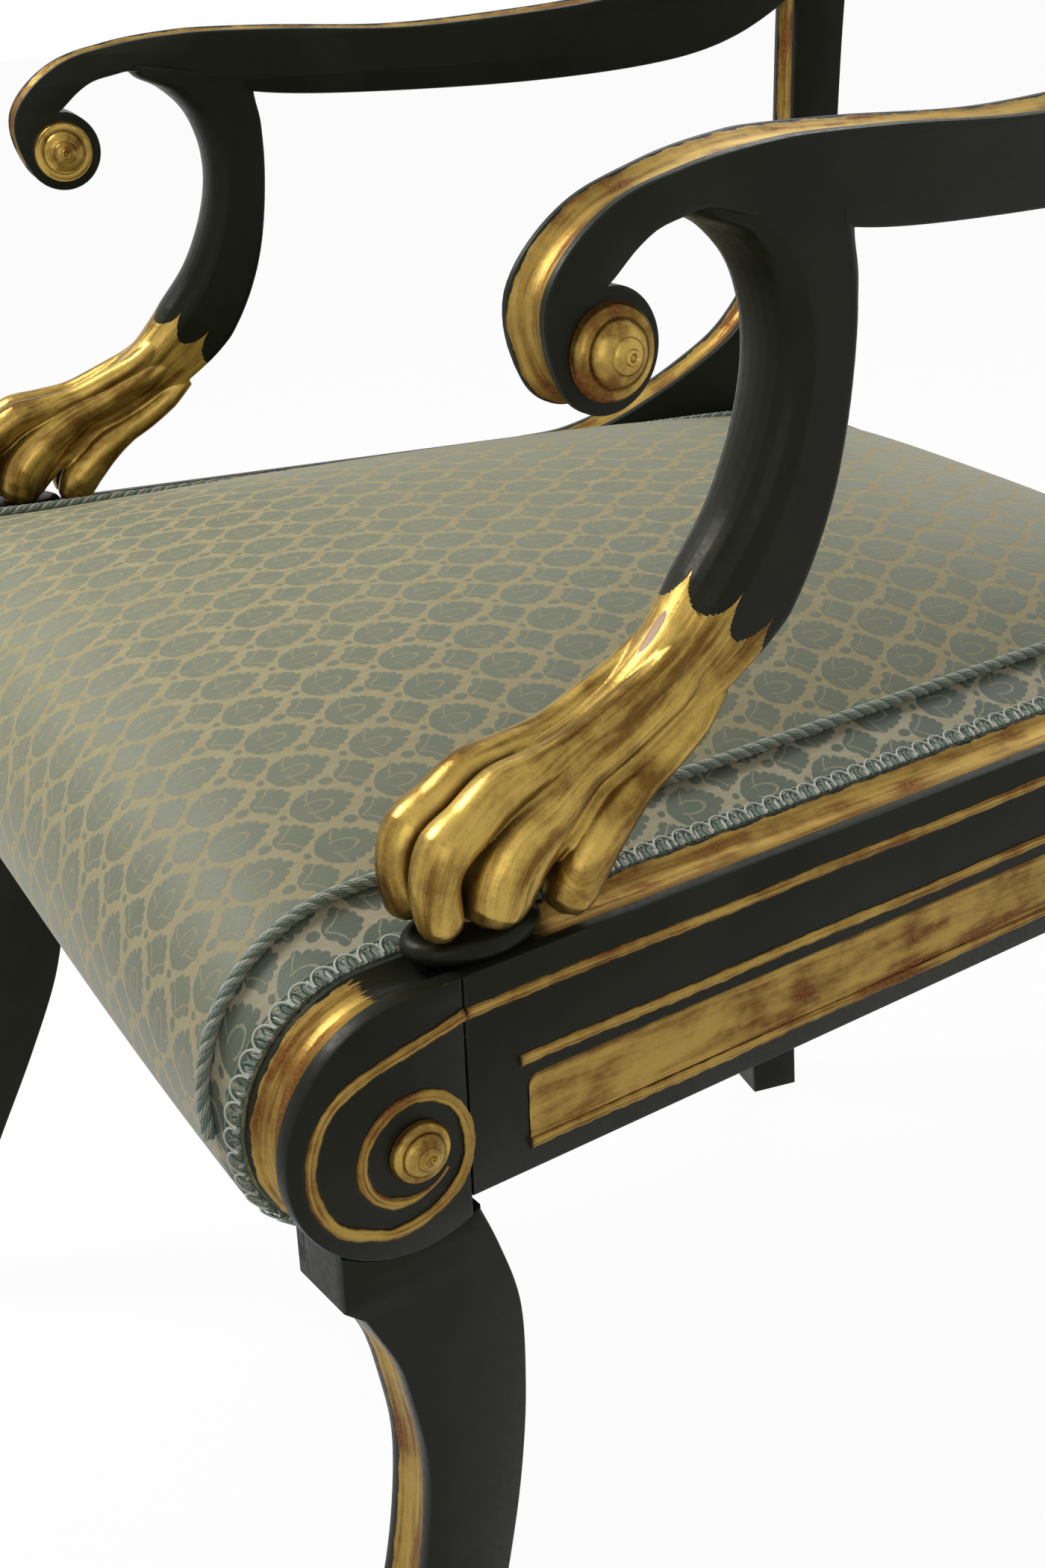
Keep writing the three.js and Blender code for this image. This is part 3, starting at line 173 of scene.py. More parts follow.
class Shell:
    """Points, faces, their looks and their UVs, gathered before they become a mesh."""

    def __init__(self):
        self.points = []
        self.faces = []
        self.looks = []
        self.uvs = []

    def grid(self, rows, uvs, look, close_across=False, close_along=False):
        """Quads between rows of points. look is a number, or a function of row and column."""
        rows = np.asarray(rows, float)
        count, width = rows.shape[:2]
        start = len(self.points)
        self.points.extend(rows.reshape(-1, 3))
        for i in range(count if close_along else count - 1):
            for j in range(width if close_across else width - 1):
                k, m = (i + 1) % count, (j + 1) % width
                self.faces.append([start + a * width + b for a, b in ((i, j), (i, m), (k, m), (k, j))])
                self.looks.append(look(i, j) if callable(look) else look)
                self.uvs.append([uvs(a, b) for a, b in ((i, j), (i, j + 1), (i + 1, j + 1), (i + 1, j))])

    def cap(self, ring, uv, look=0):
        """A flat lid over a ring of points."""
        start = len(self.points)
        self.points.extend(ring)
        for triangle in tessellate_polygon([[Vector((*place, 0)) for place in uv]]):
            self.faces.append([start + k for k in triangle])
            self.looks.append(look)
            self.uvs.append([tuple(uv[k]) for k in triangle])

    def point_ends(self, rows, look, middles=None, pitch=1):
        """Closes the first and the last ring to a point: the ring's middle, or the one given."""
        for end in (0, -1):
            ring = np.asarray(rows[end], float)
            middle = ring.mean(0) if middles is None else middles[end]
            lid = [ring, np.repeat([middle], len(ring), 0)]
            self.grid(lid, lambda i, j: (i, j * pitch), look, close_across=True)

    def add(self, other):
        """Takes in another shell."""
        start = len(self.points)
        self.points.extend(other.points)
        self.faces.extend([[start + k for k in face] for face in other.faces])
        self.looks.extend(other.looks)
        self.uvs.extend(other.uvs)
        return self


def add_object(name, data):
    """A new object in the scene."""
    thing = bpy.data.objects.new(name, data)
    bpy.context.scene.collection.objects.link(thing)
    return thing


def mesh_of(name, shell, place=to_chair, mirror=False, sharp=35, smoothed=True):
    """The object of a shell: its doubles merged, its faces outward, its edges sharp past an angle."""
    points = place(shell.points) / METRE
    if mirror:
        points = points * [-1, 1, 1]
    mesh = bpy.data.meshes.new(name)
    mesh.from_pydata(points.tolist(), [], shell.faces)
    mesh.polygons.foreach_set("material_index", shell.looks)
    layer = mesh.uv_layers.new(name="UVMap")
    layer.data.foreach_set("uv", (np.array([uv for face in shell.uvs for uv in face]) / METRE).ravel())
    piece = add_object(name, mesh)
    tidy(mesh, sharp, smoothed)
    return piece


def tidy(mesh, sharp=35, smoothed=True, merge=1e-5):
    """Merges a mesh's doubles and turns its faces outward."""
    work = bmesh.new()
    work.from_mesh(mesh)
    bmesh.ops.remove_doubles(work, verts=work.verts, dist=merge)
    bmesh.ops.dissolve_degenerate(work, edges=work.edges, dist=merge)
    bmesh.ops.recalc_face_normals(work, faces=work.faces)
    work.to_mesh(mesh)
    work.free()
    mesh.shade_smooth()
    if smoothed:
        mesh.set_sharp_from_angle(angle=math.radians(sharp))


def settled(piece):
    """The piece with its modifiers applied."""
    bpy.context.view_layer.update()
    depsgraph = bpy.context.evaluated_depsgraph_get()
    mesh = bpy.data.meshes.new_from_object(piece.evaluated_get(depsgraph))
    mesh.name = piece.name
    piece.modifiers.clear()
    piece.data = mesh
    return piece


def dress(piece, slot, looks, *nodes):
    """Gives a finished piece its materials and body, and hides the nodes that it stands for. The slot is
    not used.
    """
    mesh = piece.data
    # Clearing the materials sets every face back to the first, so the faces' numbers are kept
    numbers = np.zeros(len(mesh.polygons), int)
    mesh.polygons.foreach_get("material_index", numbers)
    mesh.materials.clear()
    for look in looks:
        mesh.materials.append(look)
    mesh.polygons.foreach_set("material_index", np.minimum(numbers, len(looks) - 1))
    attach(piece, BODY)
    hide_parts(*nodes)
    return piece


def pair(name, shell, slot, looks, *nodes, place=to_chair, finish=None, sharp=35):
    """A piece of the right side and its mirror image. Their nodes end in _right and _left."""
    for side, mirror in (("right", False), ("left", True)):
        piece = mesh_of(f"{name}_{side}", shell, place, mirror, sharp)
        if finish:
            finish(piece, mirror)
        dress(piece, slot, looks, *(f"{node}_{side}" for node in nodes))


# Shader nodes


def add_node(tree, kind, values=None, **settings):
    """A node with its settings, its inputs set or linked by name or place."""
    node = tree.nodes.new(kind)
    for name, value in settings.items():
        setattr(node, name, value)
    for key, value in (values or {}).items():
        if isinstance(value, bpy.types.NodeSocket):
            tree.links.new(value, node.inputs[key])
        else:
            node.inputs[key].default_value = value
    return node


def calc(tree, *values, operation, clamp=False):
    """What an operation makes of its values. Each is a number or a socket."""
    values = dict(enumerate(values))
    return add_node(tree, "ShaderNodeMath", values, operation=operation, use_clamp=clamp).outputs[0]


plus, minus, times, divided, times_plus = (
    partial(calc, operation=name) for name in ("ADD", "SUBTRACT", "MULTIPLY", "DIVIDE", "MULTIPLY_ADD")
)
larger, softly_smaller, wrapped, sine, root, absolute = (
    partial(calc, operation=name) for name in ("MAXIMUM", "SMOOTH_MIN", "WRAP", "SINE", "SQRT", "ABSOLUTE")
)


def xyz(tree, vector):
    return add_node(tree, "ShaderNodeSeparateXYZ", {"Vector": vector}).outputs


def vector_sum(tree, operation, values):
    return add_node(tree, "ShaderNodeVectorMath", values, operation=operation).outputs[0]


def ramp(tree, value, low, high, start=0.0, end=1.0):
    """The value eased from start to end as it goes from low to high."""
    values = {"Value": value, "From Min": low, "From Max": high, "To Min": start, "To Max": end}
    return add_node(tree, "ShaderNodeMapRange", values, interpolation_type="SMOOTHSTEP").outputs["Result"]


def noise(tree, scale, detail=4.0, vector=None, roughness=0.55):
    """A noise from 0 to 1. Without a vector it follows the object."""
    values = {"Scale": scale, "Detail": detail, "Roughness": roughness}
    if vector:
        values["Vector"] = vector
    return add_node(tree, "ShaderNodeTexNoise", values).outputs["Fac"]


def mixed(tree, share, first, second):
    """A colour between two. Each is four numbers or a socket."""
    values = {0: share, 6: first, 7: second}
    return add_node(tree, "ShaderNodeMix", values, data_type="RGBA").outputs[2]


def coordinates(tree, kind="Object"):
    return add_node(tree, "ShaderNodeTexCoord").outputs[kind]


def stretched(tree, vector, scale):
    return add_node(tree, "ShaderNodeMapping", {"Vector": vector, "Scale": scale}).outputs["Vector"]


def new_group(name, inputs, outputs):
    """A node group with its named inputs and outputs, and the node that each starts from."""
    tree = bpy.data.node_groups.new(name, "ShaderNodeTree")
    for label, kind, value in inputs:
        socket = tree.interface.new_socket(label, in_out="INPUT", socket_type="NodeSocket" + kind)
        if value is not None:
            socket.default_value = value
    for label, kind in outputs:
        tree.interface.new_socket(label, in_out="OUTPUT", socket_type="NodeSocket" + kind)
    return tree, tree.nodes.new("NodeGroupInput").outputs, tree.nodes.new("NodeGroupOutput").inputs


def placed(tree, group, values=None):
    return add_node(tree, "ShaderNodeGroup", values, node_tree=group).outputs


def new_material(name, **plain):
    """A material and its Principled shader, with the plain values set on its sockets."""
    material = bpy.data.materials.new(name)
    material.use_nodes = True
    tree = material.node_tree
    shader = tree.nodes["Principled BSDF"]
    for key, value in plain.items():
        shader.inputs[key.replace("_", " ")].default_value = value
    return material, tree, shader


def bumped(tree, height, distance, strength=1.0):
    """A normal that follows a height."""
    values = {"Height": height, "Distance": distance, "Strength": strength}
    return add_node(tree, "ShaderNodeBump", values).outputs["Normal"]


def edge_group():
    """Where the wood's edges stick out, and where its hollows are, which hold dust and dirt and take
    painted shade.
    """
    tree, given, made = new_group(
        "edges and hollows",
        [("Width", "Float", 0.002)],
        [("Edge", "Float"), ("Hollow", "Float")],
    )
    round_normal = add_node(tree, "ShaderNodeBevel", {"Radius": given["Width"]}, samples=6).outputs[0]
    normal = add_node(tree, "ShaderNodeNewGeometry").outputs["Normal"]
    across = add_node(tree, "ShaderNodeVectorMath", {0: round_normal, 1: normal}, operation="DOT_PRODUCT")
    bend = minus(tree, 1.0, across.outputs["Value"])
    shade = add_node(tree, "ShaderNodeAmbientOcclusion", {"Distance": 0.006}, samples=6, only_local=True)
    open_share = shade.outputs["AO"]
    edge = times(tree, ramp(tree, bend, 0.01, 0.16), ramp(tree, open_share, 0.6, 0.95))
    tree.links.new(edge, made["Edge"])
    tree.links.new(ramp(tree, open_share, 0.9, 0.35), made["Hollow"])
    return tree


EDGES = edge_group()


def paint_group():
    """Black-green paint, rubbed to teal and brown at its edges."""
    tree, given, made = new_group(
        "black-green paint",
        [("Wear", "Float", 1.0)],
        [("Color", "Color"), ("Roughness", "Float"), ("Height", "Float")],
    )
    where = coordinates(tree)
    edges = placed(tree, EDGES, {"Width": 0.0022})
    broad = noise(tree, 22.0, 5.0, where)
    fine = noise(tree, 420.0, 3.0, where)
    chips = noise(tree, 160.0, 6.0, where, 0.7)
    body = mixed(tree, ramp(tree, broad, 0.35, 0.7), (0.0085, 0.0098, 0.0058, 1), (0.0145, 0.0165, 0.01, 1))
    worn_edge = times(tree, edges["Edge"], given["Wear"])
    rubbed = times(tree, worn_edge, ramp(tree, broad, 0.3, 0.62), clamp=True)
    teal = mixed(tree, rubbed, body, (0.022, 0.036, 0.029, 1))
    chipped = times(tree, worn_edge, ramp(tree, chips, 0.6, 0.68), clamp=True)
    worn = mixed(tree, chipped, teal, (0.15, 0.08, 0.028, 1))
    dusty = times(tree, edges["Hollow"], 0.12)
    tree.links.new(mixed(tree, dusty, worn, (0.05, 0.046, 0.034, 1)), made["Color"])
    tree.links.new(ramp(tree, fine, 0.3, 0.75, 0.3, 0.44), made["Roughness"])
    brushed = noise(tree, 90.0, 4.0, stretched(tree, where, (1.0, 0.35, 0.35)))
    tree.links.new(times_plus(tree, fine, 0.2, brushed), made["Height"])
    return tree


def gilding_group():
    """Water gilding, rubbed through to red-brown bole at the edges and in streaks along the wood."""
    tree, given, made = new_group(
        "water gilding",
        [("Wear", "Float", 0.06), ("Patina", "Float", 0.0), ("Streak", "Float", 0.6)],
        [("Color", "Color"), ("Roughness", "Float"), ("Metallic", "Float"), ("Height", "Float")],
    )
    where = coordinates(tree)
    along = stretched(tree, coordinates(tree, "UV"), (14.0, 230.0, 1.0))
    edges = placed(tree, EDGES, {"Width": 0.002})
    cloud = noise(tree, 42.0, 6.0, where, 0.62)
    grain = noise(tree, 900.0, 5.0, where, 0.65)
    streak = noise(tree, 1.0, 8.0, along, 0.68)
    streaked = times(tree, given["Streak"], minus(tree, streak, cloud))
    tone = plus(tree, cloud, streaked)
    leaf = mixed(tree, ramp(tree, tone, 0.4, 0.6), (0.13, 0.065, 0.013, 1), (0.52, 0.35, 0.085, 1))
    dulled = mixed(tree, given["Patina"], leaf, (0.11, 0.055, 0.014, 1))
    toned = mixed(tree, ramp(tree, grain, 0.5, 0.75, 0.0, 0.3), dulled, (0.13, 0.062, 0.014, 1))
    # Dirt and painted shade: the gold in the hollows is darkened toward dark brown and made less metallic.
    dirt_and_shade = times(tree, edges["Hollow"], ramp(tree, cloud, 0.25, 0.6, 0.7, 1.0), clamp=True)
    dark = mixed(tree, dirt_and_shade, toned, (0.045, 0.022, 0.007, 1))
    lifted = times_plus(tree, edges["Edge"], 0.12, minus(tree, 1.0, tone))
    speckled = times_plus(tree, grain, 0.16, lifted)
    bare = ramp(tree, plus(tree, speckled, given["Wear"]), 0.68, 0.78)
    bole = mixed(tree, ramp(tree, grain, 0.35, 0.65), (0.1, 0.03, 0.009, 1), (0.3, 0.115, 0.03, 1))
    tree.links.new(mixed(tree, bare, dark, bole), made["Color"])
    tree.links.new(ramp(tree, plus(tree, bare, dirt_and_shade), 0.0, 1.0, 0.8, 0.25), made["Metallic"])
    rough = ramp(tree, plus(tree, cloud, bare), 0.3, 1.3, 0.26, 0.48)
    tree.links.new(times_plus(tree, given["Patina"], 0.35, rough), made["Roughness"])
    tree.links.new(times_plus(tree, grain, 0.3, tone), made["Height"])
    return tree


PAINT_FINISH = paint_group()
GILDING_FINISH = gilding_group()


def finish_material(name, wear=0.0, cover=None, scar=None, patina=0.0, streak=0.6):
    """Paint, with gilding over it as far as the cover goes, and bare gesso in the scar.
    Cover and scar are functions that make a mask from 0 to 1 in the material's tree."""
    glint = {"Specular_IOR_Level": 0.12, "Specular_Tint": (1.0, 0.96, 0.8, 1.0)}
    material, tree, shader = new_material(name, IOR=1.5, **glint)
    paint = placed(tree, PAINT_FINISH)
    colour, rough, height = paint["Color"], paint["Roughness"], paint["Height"]
    if cover:
        gold = placed(tree, GILDING_FINISH, {"Wear": wear, "Patina": patina, "Streak": streak})
        mask = cover(tree)
        colour = mixed(tree, mask, colour, gold["Color"])
        rougher = minus(tree, gold["Roughness"], rough)
        rough = plus(tree, rough, times(tree, mask, rougher))
        height = times_plus(tree, mask, gold["Height"], height)
        metal = times(tree, mask, gold["Metallic"])
        if scar:
            open_gesso = scar(tree)
            colour = mixed(tree, open_gesso, colour, (0.5, 0.3, 0.19, 1))
            metal = times(tree, metal, minus(tree, 1.0, open_gesso))
        tree.links.new(metal, shader.inputs["Metallic"])
    tree.links.new(colour, shader.inputs["Base Color"])
    tree.links.new(rough, shader.inputs["Roughness"])
    tree.links.new(bumped(tree, height, 0.00028, 0.6), shader.inputs["Normal"])
    return material


def everywhere(tree):
    return plus(tree, 1.0, 0.0)


# A hollow's UV starts where its gilding starts, and runs 10 mm to each side of its middle.
HOLLOW_HALF = 10.0


def brushed_in(tree):
    """Gilding that starts at a ragged brush edge, and wanders a little along the hollow's sides."""
    parts = xyz(tree, coordinates(tree, "UV"))
    hairs = noise(tree, 1.0, 3.0, stretched(tree, coordinates(tree, "UV"), (60.0, 900.0, 1.0)))
    start = times_plus(tree, minus(tree, hairs, 0.5), 0.016, parts["X"])
    lean = noise(tree, 130.0, 3.0, coordinates(tree))
    wander = times(tree, minus(tree, lean, 0.5), 0.0028)
    side = plus(tree, absolute(tree, parts["Y"]), wander)
    edge = HOLLOW_HALF / METRE
    started = ramp(tree, start, -0.0008, 0.0008)
    return times(tree, started, ramp(tree, side, edge * 0.97, edge * 0.92))


# The support's UV is its reach down from the arm and its way round from the front, at 15 mm a radian.
ROUND_RADIUS = 15.0
BORDER_REACH = 131.0
TONGUE_DROP = 12.0
TONGUES = 3
TONGUE_TURN = math.radians(21)
SCAR_REACH = 157.0
SCAR_ROUND = 0.5
SCAR_HALF_LENGTH = 9.5
SCAR_HALF_WIDTH = 1.9


def support_parts(tree):
    """The reach down the support and the way round it, in millimetres, with a ragged reach."""
    parts = xyz(tree, coordinates(tree, "UV"))
    reach = times(tree, parts["X"], METRE)
    shake = minus(tree, noise(tree, 260.0, 3.0, coordinates(tree)), 0.5)
    return times_plus(tree, shake, 1.6, reach), times(tree, parts["Y"], METRE)


def below_the_tongues(tree):
    """Gilding under a border of rounded black tongues, with sharp gilt points between them."""
    reach, way_round = support_parts(tree)
    turn = times_plus(tree, way_round, TONGUES / ROUND_RADIUS, -TONGUE_TURN)
    tongue = root(tree, absolute(tree, sine(tree, turn)))
    border = times_plus(tree, tongue, TONGUE_DROP * 1.15, BORDER_REACH - TONGUE_DROP * 0.1)
    return ramp(tree, minus(tree, reach, border), -0.25, 0.25)


def rubbed_bare(tree):
    """A long scar on the outer front edge of the near support, rubbed to the gesso."""
    reach, way_round = support_parts(tree)
    along = divided(tree, minus(tree, reach, SCAR_REACH), SCAR_HALF_LENGTH)
    across = divided(tree, minus(tree, way_round, SCAR_ROUND), SCAR_HALF_WIDTH)
    place = times_plus(tree, along, along, times(tree, across, across))
    near = xyz(tree, coordinates(tree))["X"]
    return times(tree, ramp(tree, place, 1.05, 0.85), ramp(tree, near, 0.0, 0.01))


PAINT = finish_material("ebonised paint")
GILDING = finish_material("water gilding", 0.0, everywhere)
BRUSHED_GILDING = finish_material("brushed gilding", 0.09, brushed_in, patina=0.32)
TURNED_GILDING = finish_material("turned gilding", 0.04, everywhere, streak=0.12)
CARVED_GILDING = finish_material("gilding under black tongues", 0.0, below_the_tongues, rubbed_bare)
WOOD_LOOKS = [PAINT, GILDING, BRUSHED_GILDING, CARVED_GILDING]
PAINTED, GILDED, BRUSHED, CARVED = range(4)


def beech_material():
    """Bare beech with its grain and short flecks."""
    material, tree, shader = new_material("bare beech", Roughness=0.68)
    where = stretched(tree, coordinates(tree), (14.0, 160.0, 160.0))
    grain = noise(tree, 1.0, 6.0, where)
    fleck = noise(tree, 5.0, 2.0, where)
    body = mixed(tree, ramp(tree, grain, 0.35, 0.65), (0.38, 0.24, 0.115, 1), (0.5, 0.33, 0.17, 1))
    flecked = mixed(tree, ramp(tree, fleck, 0.62, 0.7, 0.0, 0.5), body, (0.26, 0.14, 0.06, 1))
    tree.links.new(flecked, shader.inputs["Base Color"])
    tree.links.new(bumped(tree, grain, 0.0003, 0.5), shader.inputs["Normal"])
    return material


def brass_material():
    """Gilt brass wire, drawn and a little dull."""
    material, tree, shader = new_material("gilt brass", Metallic=1.0)
    cloud = noise(tree, 180.0, 4.0, coordinates(tree))
    colour = mixed(tree, ramp(tree, cloud, 0.35, 0.7), (0.62, 0.43, 0.13, 1), (0.85, 0.63, 0.27, 1))
    tree.links.new(colour, shader.inputs["Base Color"])
    tree.links.new(ramp(tree, cloud, 0.3, 0.8, 0.22, 0.42), shader.inputs["Roughness"])
    return material


def weave_group():
    """Threads over and under each other: the height of a plain weave."""
    tree, given, made = new_group(
        "plain weave",
        [("Vector", "Vector", None), ("Threads", "Float", 900.0)],
        [("Height", "Float"), ("Thread", "Float")],
    )
    parts = xyz(tree, given["Vector"])
    wave = []
    for axis in ("X", "Y"):
        turns = times(tree, parts[axis], given["Threads"])
        wave.append(sine(tree, times(tree, turns, math.tau)))
    over = times(tree, wave[0], wave[1])
    height = times_plus(tree, over, 0.5, 0.5)
    tree.links.new(height, made["Height"])
    tree.links.new(ramp(tree, absolute(tree, wave[0]), 0.0, 1.0), made["Thread"])
    return tree


WEAVE = weave_group()


def cloth_material(name, dark, light, threads, rough=0.9):
    """A plain woven cloth, seen on the object's own X and Y."""
    material, tree, shader = new_material(name, Roughness=rough)
    shader.inputs["Sheen Weight"].default_value = 0.2
    woven = placed(tree, WEAVE, {"Vector": coordinates(tree), "Threads": threads})
    patch = noise(tree, 30.0, 4.0, coordinates(tree))
    # Painted shade and light: the weave's low places are darker and its high places lighter, more so in
    # some patches than others.
    share = times(tree, woven["Height"], ramp(tree, patch, 0.2, 0.8, 0.5, 1.0))
    tree.links.new(mixed(tree, share, dark, light), shader.inputs["Base Color"])
    tree.links.new(bumped(tree, woven["Height"], 0.0003, 0.7), shader.inputs["Normal"])
    return material


# Damask: a large leaf and a small leaf in turn, on a lattice of beige gold.
# Every lobe is an ellipse: the X and Y of its middle, then its half width and half height, in millimetres.
# Every vein is part of a ring: its middle, its two half widths, and where it starts and ends in Y.
LEAF_PITCH = 22.8
LEAF_ROW = 31.0
LARGE_LEAF = [
    (0, -2.2, 8.3, 7.6), (7.2, -0.5, 2.3, 2.1), (0, -8.0, 3.2, 2.2), (0, 0.4, 6.6, 10.0),
    (6.4, 3.4, 1.7, 1.8), (5.0, 6.3, 1.7, 1.8), (3.1, 8.9, 1.6, 1.7), (0, 11.1, 1.8, 2.0),
    (0, -12.8, 1.5, 1.4),
]
SMALL_LEAF = [
    (0, 3.8, 4.3, 4.6), (5.2, 1.0, 2.9, 2.3), (0, -1.0, 4.8, 4.2), (4.4, 4.3, 1.6, 1.7),
    (2.7, 6.6, 1.5, 1.6), (0, 8.1, 1.5, 1.6), (0, -8.4, 2.0, 2.6),
]
LARGE_VEINS = [(0, -0.8, 3.0, 5.8, -4.6, 9.0), (0.4, 10.4, 13.8, 14.0, -3.3, 1.5)]
SMALL_VEINS = [(11.4, -8.2, 12.0, 12.0, -4.0, 3.0)]
LEAF_SHIFT = 21.5


def lobes_group(name, lobes, veins):
    """How far a place is inside a leaf of lobes, and on its veins. The leaf is the same left and right."""
    tree, given, made = new_group(
        name,
        [("X", "Float", 0.0), ("Y", "Float", 0.0)],
        [("Leaf", "Float"), ("Vein", "Float")],
    )
    x, y = absolute(tree, given["X"]), given["Y"]
    nearest = None
    for middle_x, middle_y, wide, high in lobes:
        across = divided(tree, minus(tree, x, middle_x), wide)
        along = divided(tree, minus(tree, y, middle_y), high)
        place = times_plus(tree, across, across, times(tree, along, along))
        far = times(tree, minus(tree, root(tree, place), 1.0), min(wide, high))
        nearest = far if nearest is None else softly_smaller(tree, nearest, far, 0.35)
    tree.links.new(ramp(tree, nearest, 0.3, -0.3), made["Leaf"])
    vein = None
    for middle_x, middle_y, wide, high, foot, tip in veins:
        across = divided(tree, minus(tree, x, middle_x), wide)
        along = divided(tree, minus(tree, y, middle_y), high)
        place = root(tree, times_plus(tree, across, across, times(tree, along, along)))
        gap = times(tree, absolute(tree, minus(tree, place, 1.0)), min(wide, high))
        above = ramp(tree, y, foot - 0.2, foot + 0.2)
        within = times(tree, above, ramp(tree, y, tip + 0.2, tip - 0.2))
        line = times(tree, ramp(tree, gap, 0.48, 0.22), within)
        vein = line if vein is None else larger(tree, vein, line)
    tree.links.new(times(tree, vein, ramp(tree, nearest, -0.2, -0.7)), made["Vein"])
    return tree


def damask_material(name, ground, leaf, age):
    """Damask with two leaves in turn on a lattice of gold, drawn on the UV in millimetres.
    ground and leaf are a dull and a bright colour each. Toward the near side the ground and the leaves are
    painted darker, as shade where the light and the cloth's sheen fall off."""
    material, tree, shader = new_material(name, IOR=1.45)
    shader.inputs["Sheen Weight"].default_value = 0.15
    shader.inputs["Sheen Roughness"].default_value = 0.4
    flat = coordinates(tree, "UV")
    ragged = add_node(tree, "ShaderNodeTexNoise", {"Vector": flat, "Scale": 900.0, "Detail": 2.0})
    jitter = vector_sum(tree, "SUBTRACT", {0: ragged.outputs["Color"], 1: (0.5, 0.5, 0.5)})
    shaken = vector_sum(tree, "SCALE", {0: jitter, 3: 0.0009})
    moved = vector_sum(tree, "ADD", {0: flat, 1: shaken})
    parts = xyz(tree, moved)
    x = times(tree, parts["X"], METRE)
    y = times(tree, parts["Y"], METRE)

    def cell(value, pitch, offset):
        """A coordinate within its own cell, from the cell's middle."""
        return minus(tree, wrapped(tree, plus(tree, value, offset), pitch, 0.0), pitch / 2)

    figures = []
    veins = []
    for name, lobes, lines, shift_x, shift_y in (
        ("large leaf", LARGE_LEAF, LARGE_VEINS, LEAF_PITCH / 2, LEAF_SHIFT),
        ("small leaf", SMALL_LEAF, SMALL_VEINS, 0.0, LEAF_SHIFT + LEAF_ROW / 2),
    ):
        group = lobes_group(name, lobes, lines)
        here = {"X": cell(x, LEAF_PITCH, shift_x), "Y": cell(y, LEAF_ROW, shift_y)}
        out = placed(tree, group, here)
        figures.append(out["Leaf"])
        veins.append(out["Vein"])
    figure = larger(tree, figures[0], figures[1])
    vein = larger(tree, veins[0], veins[1])
    sage = times(tree, figure, minus(tree, 1.0, times(tree, vein, 0.62)))
    ribs = sine(tree, times(tree, parts["X"], 9500.0))
    picks = sine(tree, times(tree, parts["Y"], 7000.0))
    thread = times_plus(tree, times(tree, ribs, picks), 0.5, 0.5)
    patch = noise(tree, 9.0, 3.0, coordinates(tree))
    slub = noise(tree, 1.0, 4.0, stretched(tree, flat, (700.0, 60.0, 1.0)))
    fresh = ramp(tree, slub, 0.3, 0.7)
    # Painted shade: toward the near side the ground and the leaves are darkened, where the light and the
    # cloth's sheen fall off.
    near_side_painted_shade = ramp(tree, parts["X"], -0.05, 0.27, 0.0, 0.6)
    between_leaves = mixed(tree, near_side_painted_shade, mixed(tree, fresh, *ground), (0.31, 0.275, 0.17, 1))
    figured = mixed(tree, near_side_painted_shade, mixed(tree, fresh, *leaf), (0.075, 0.094, 0.064, 1))
    cloth = mixed(tree, sage, between_leaves, figured)
    aged = mixed(tree, ramp(tree, patch, 0.35, 0.75, 0.0, age), cloth, (0.26, 0.245, 0.135, 1))
    tree.links.new(aged, shader.inputs["Base Color"])
    tree.links.new(ramp(tree, sage, 0.0, 1.0, 0.8, 0.5), shader.inputs["Roughness"])
    relief = times_plus(tree, thread, 0.35, times(tree, sage, 0.8))
    tree.links.new(bumped(tree, relief, 0.0002, 0.8), shader.inputs["Normal"])
    return material


TOP_DAMASK = damask_material(
    "sage damask",
    ground=((0.28, 0.235, 0.112, 1), (0.385, 0.325, 0.165, 1)),
    leaf=((0.132, 0.147, 0.087, 1), (0.176, 0.19, 0.113, 1)),
    age=0.22,
)
# Painted sheen and shade: the side band is the top's damask again, with darker leaves and a paler ground
# for the light that its upright faces take.
PAINTED_SHEEN_BAND_DAMASK = damask_material(
    "side band damask with painted sheen and shade",
    ground=((0.36, 0.33, 0.235, 1), (0.52, 0.48, 0.35, 1)),
    leaf=((0.06, 0.083, 0.059, 1), (0.105, 0.135, 0.096, 1)),
    age=0.1,
)


def yarn_material(name, dark, light, deep):
    """Silk yarn: single threads that run along the strand's UV, painted lighter on their crowns and darker
    at their sides, with painted shade in the deep colour between the threads and between the strands.
    """
    material, tree, shader = new_material(name, Roughness=0.6)
    shader.inputs["Sheen Weight"].default_value = 0.3
    parts = xyz(tree, coordinates(tree, "UV"))
    slant = times_plus(tree, parts["X"], 0.28, parts["Y"])
    threads = sine(tree, times(tree, slant, math.tau / 0.001))
    fibres = noise(tree, 1.0, 4.0, stretched(tree, coordinates(tree, "UV"), (260.0, 1400.0, 1.0)))
    lit = times_plus(tree, threads, 0.3, fibres)
    body = mixed(tree, ramp(tree, lit, 0.25, 0.75), dark, light)
    edges = placed(tree, EDGES, {"Width": 0.0008})
    # Painted shade: the strands' hollows and the gaps between threads are darkened toward the deep colour.
    painted_shade_in_hollows = times(tree, edges["Hollow"], 0.8)
    painted_shade_in_gaps = larger(tree, painted_shade_in_hollows, ramp(tree, threads, -0.6, -0.95, 0.0, 0.7))
    tree.links.new(mixed(tree, painted_shade_in_gaps, body, deep), shader.inputs["Base Color"])
    tree.links.new(bumped(tree, lit, 0.0002, 0.6), shader.inputs["Normal"])
    return material


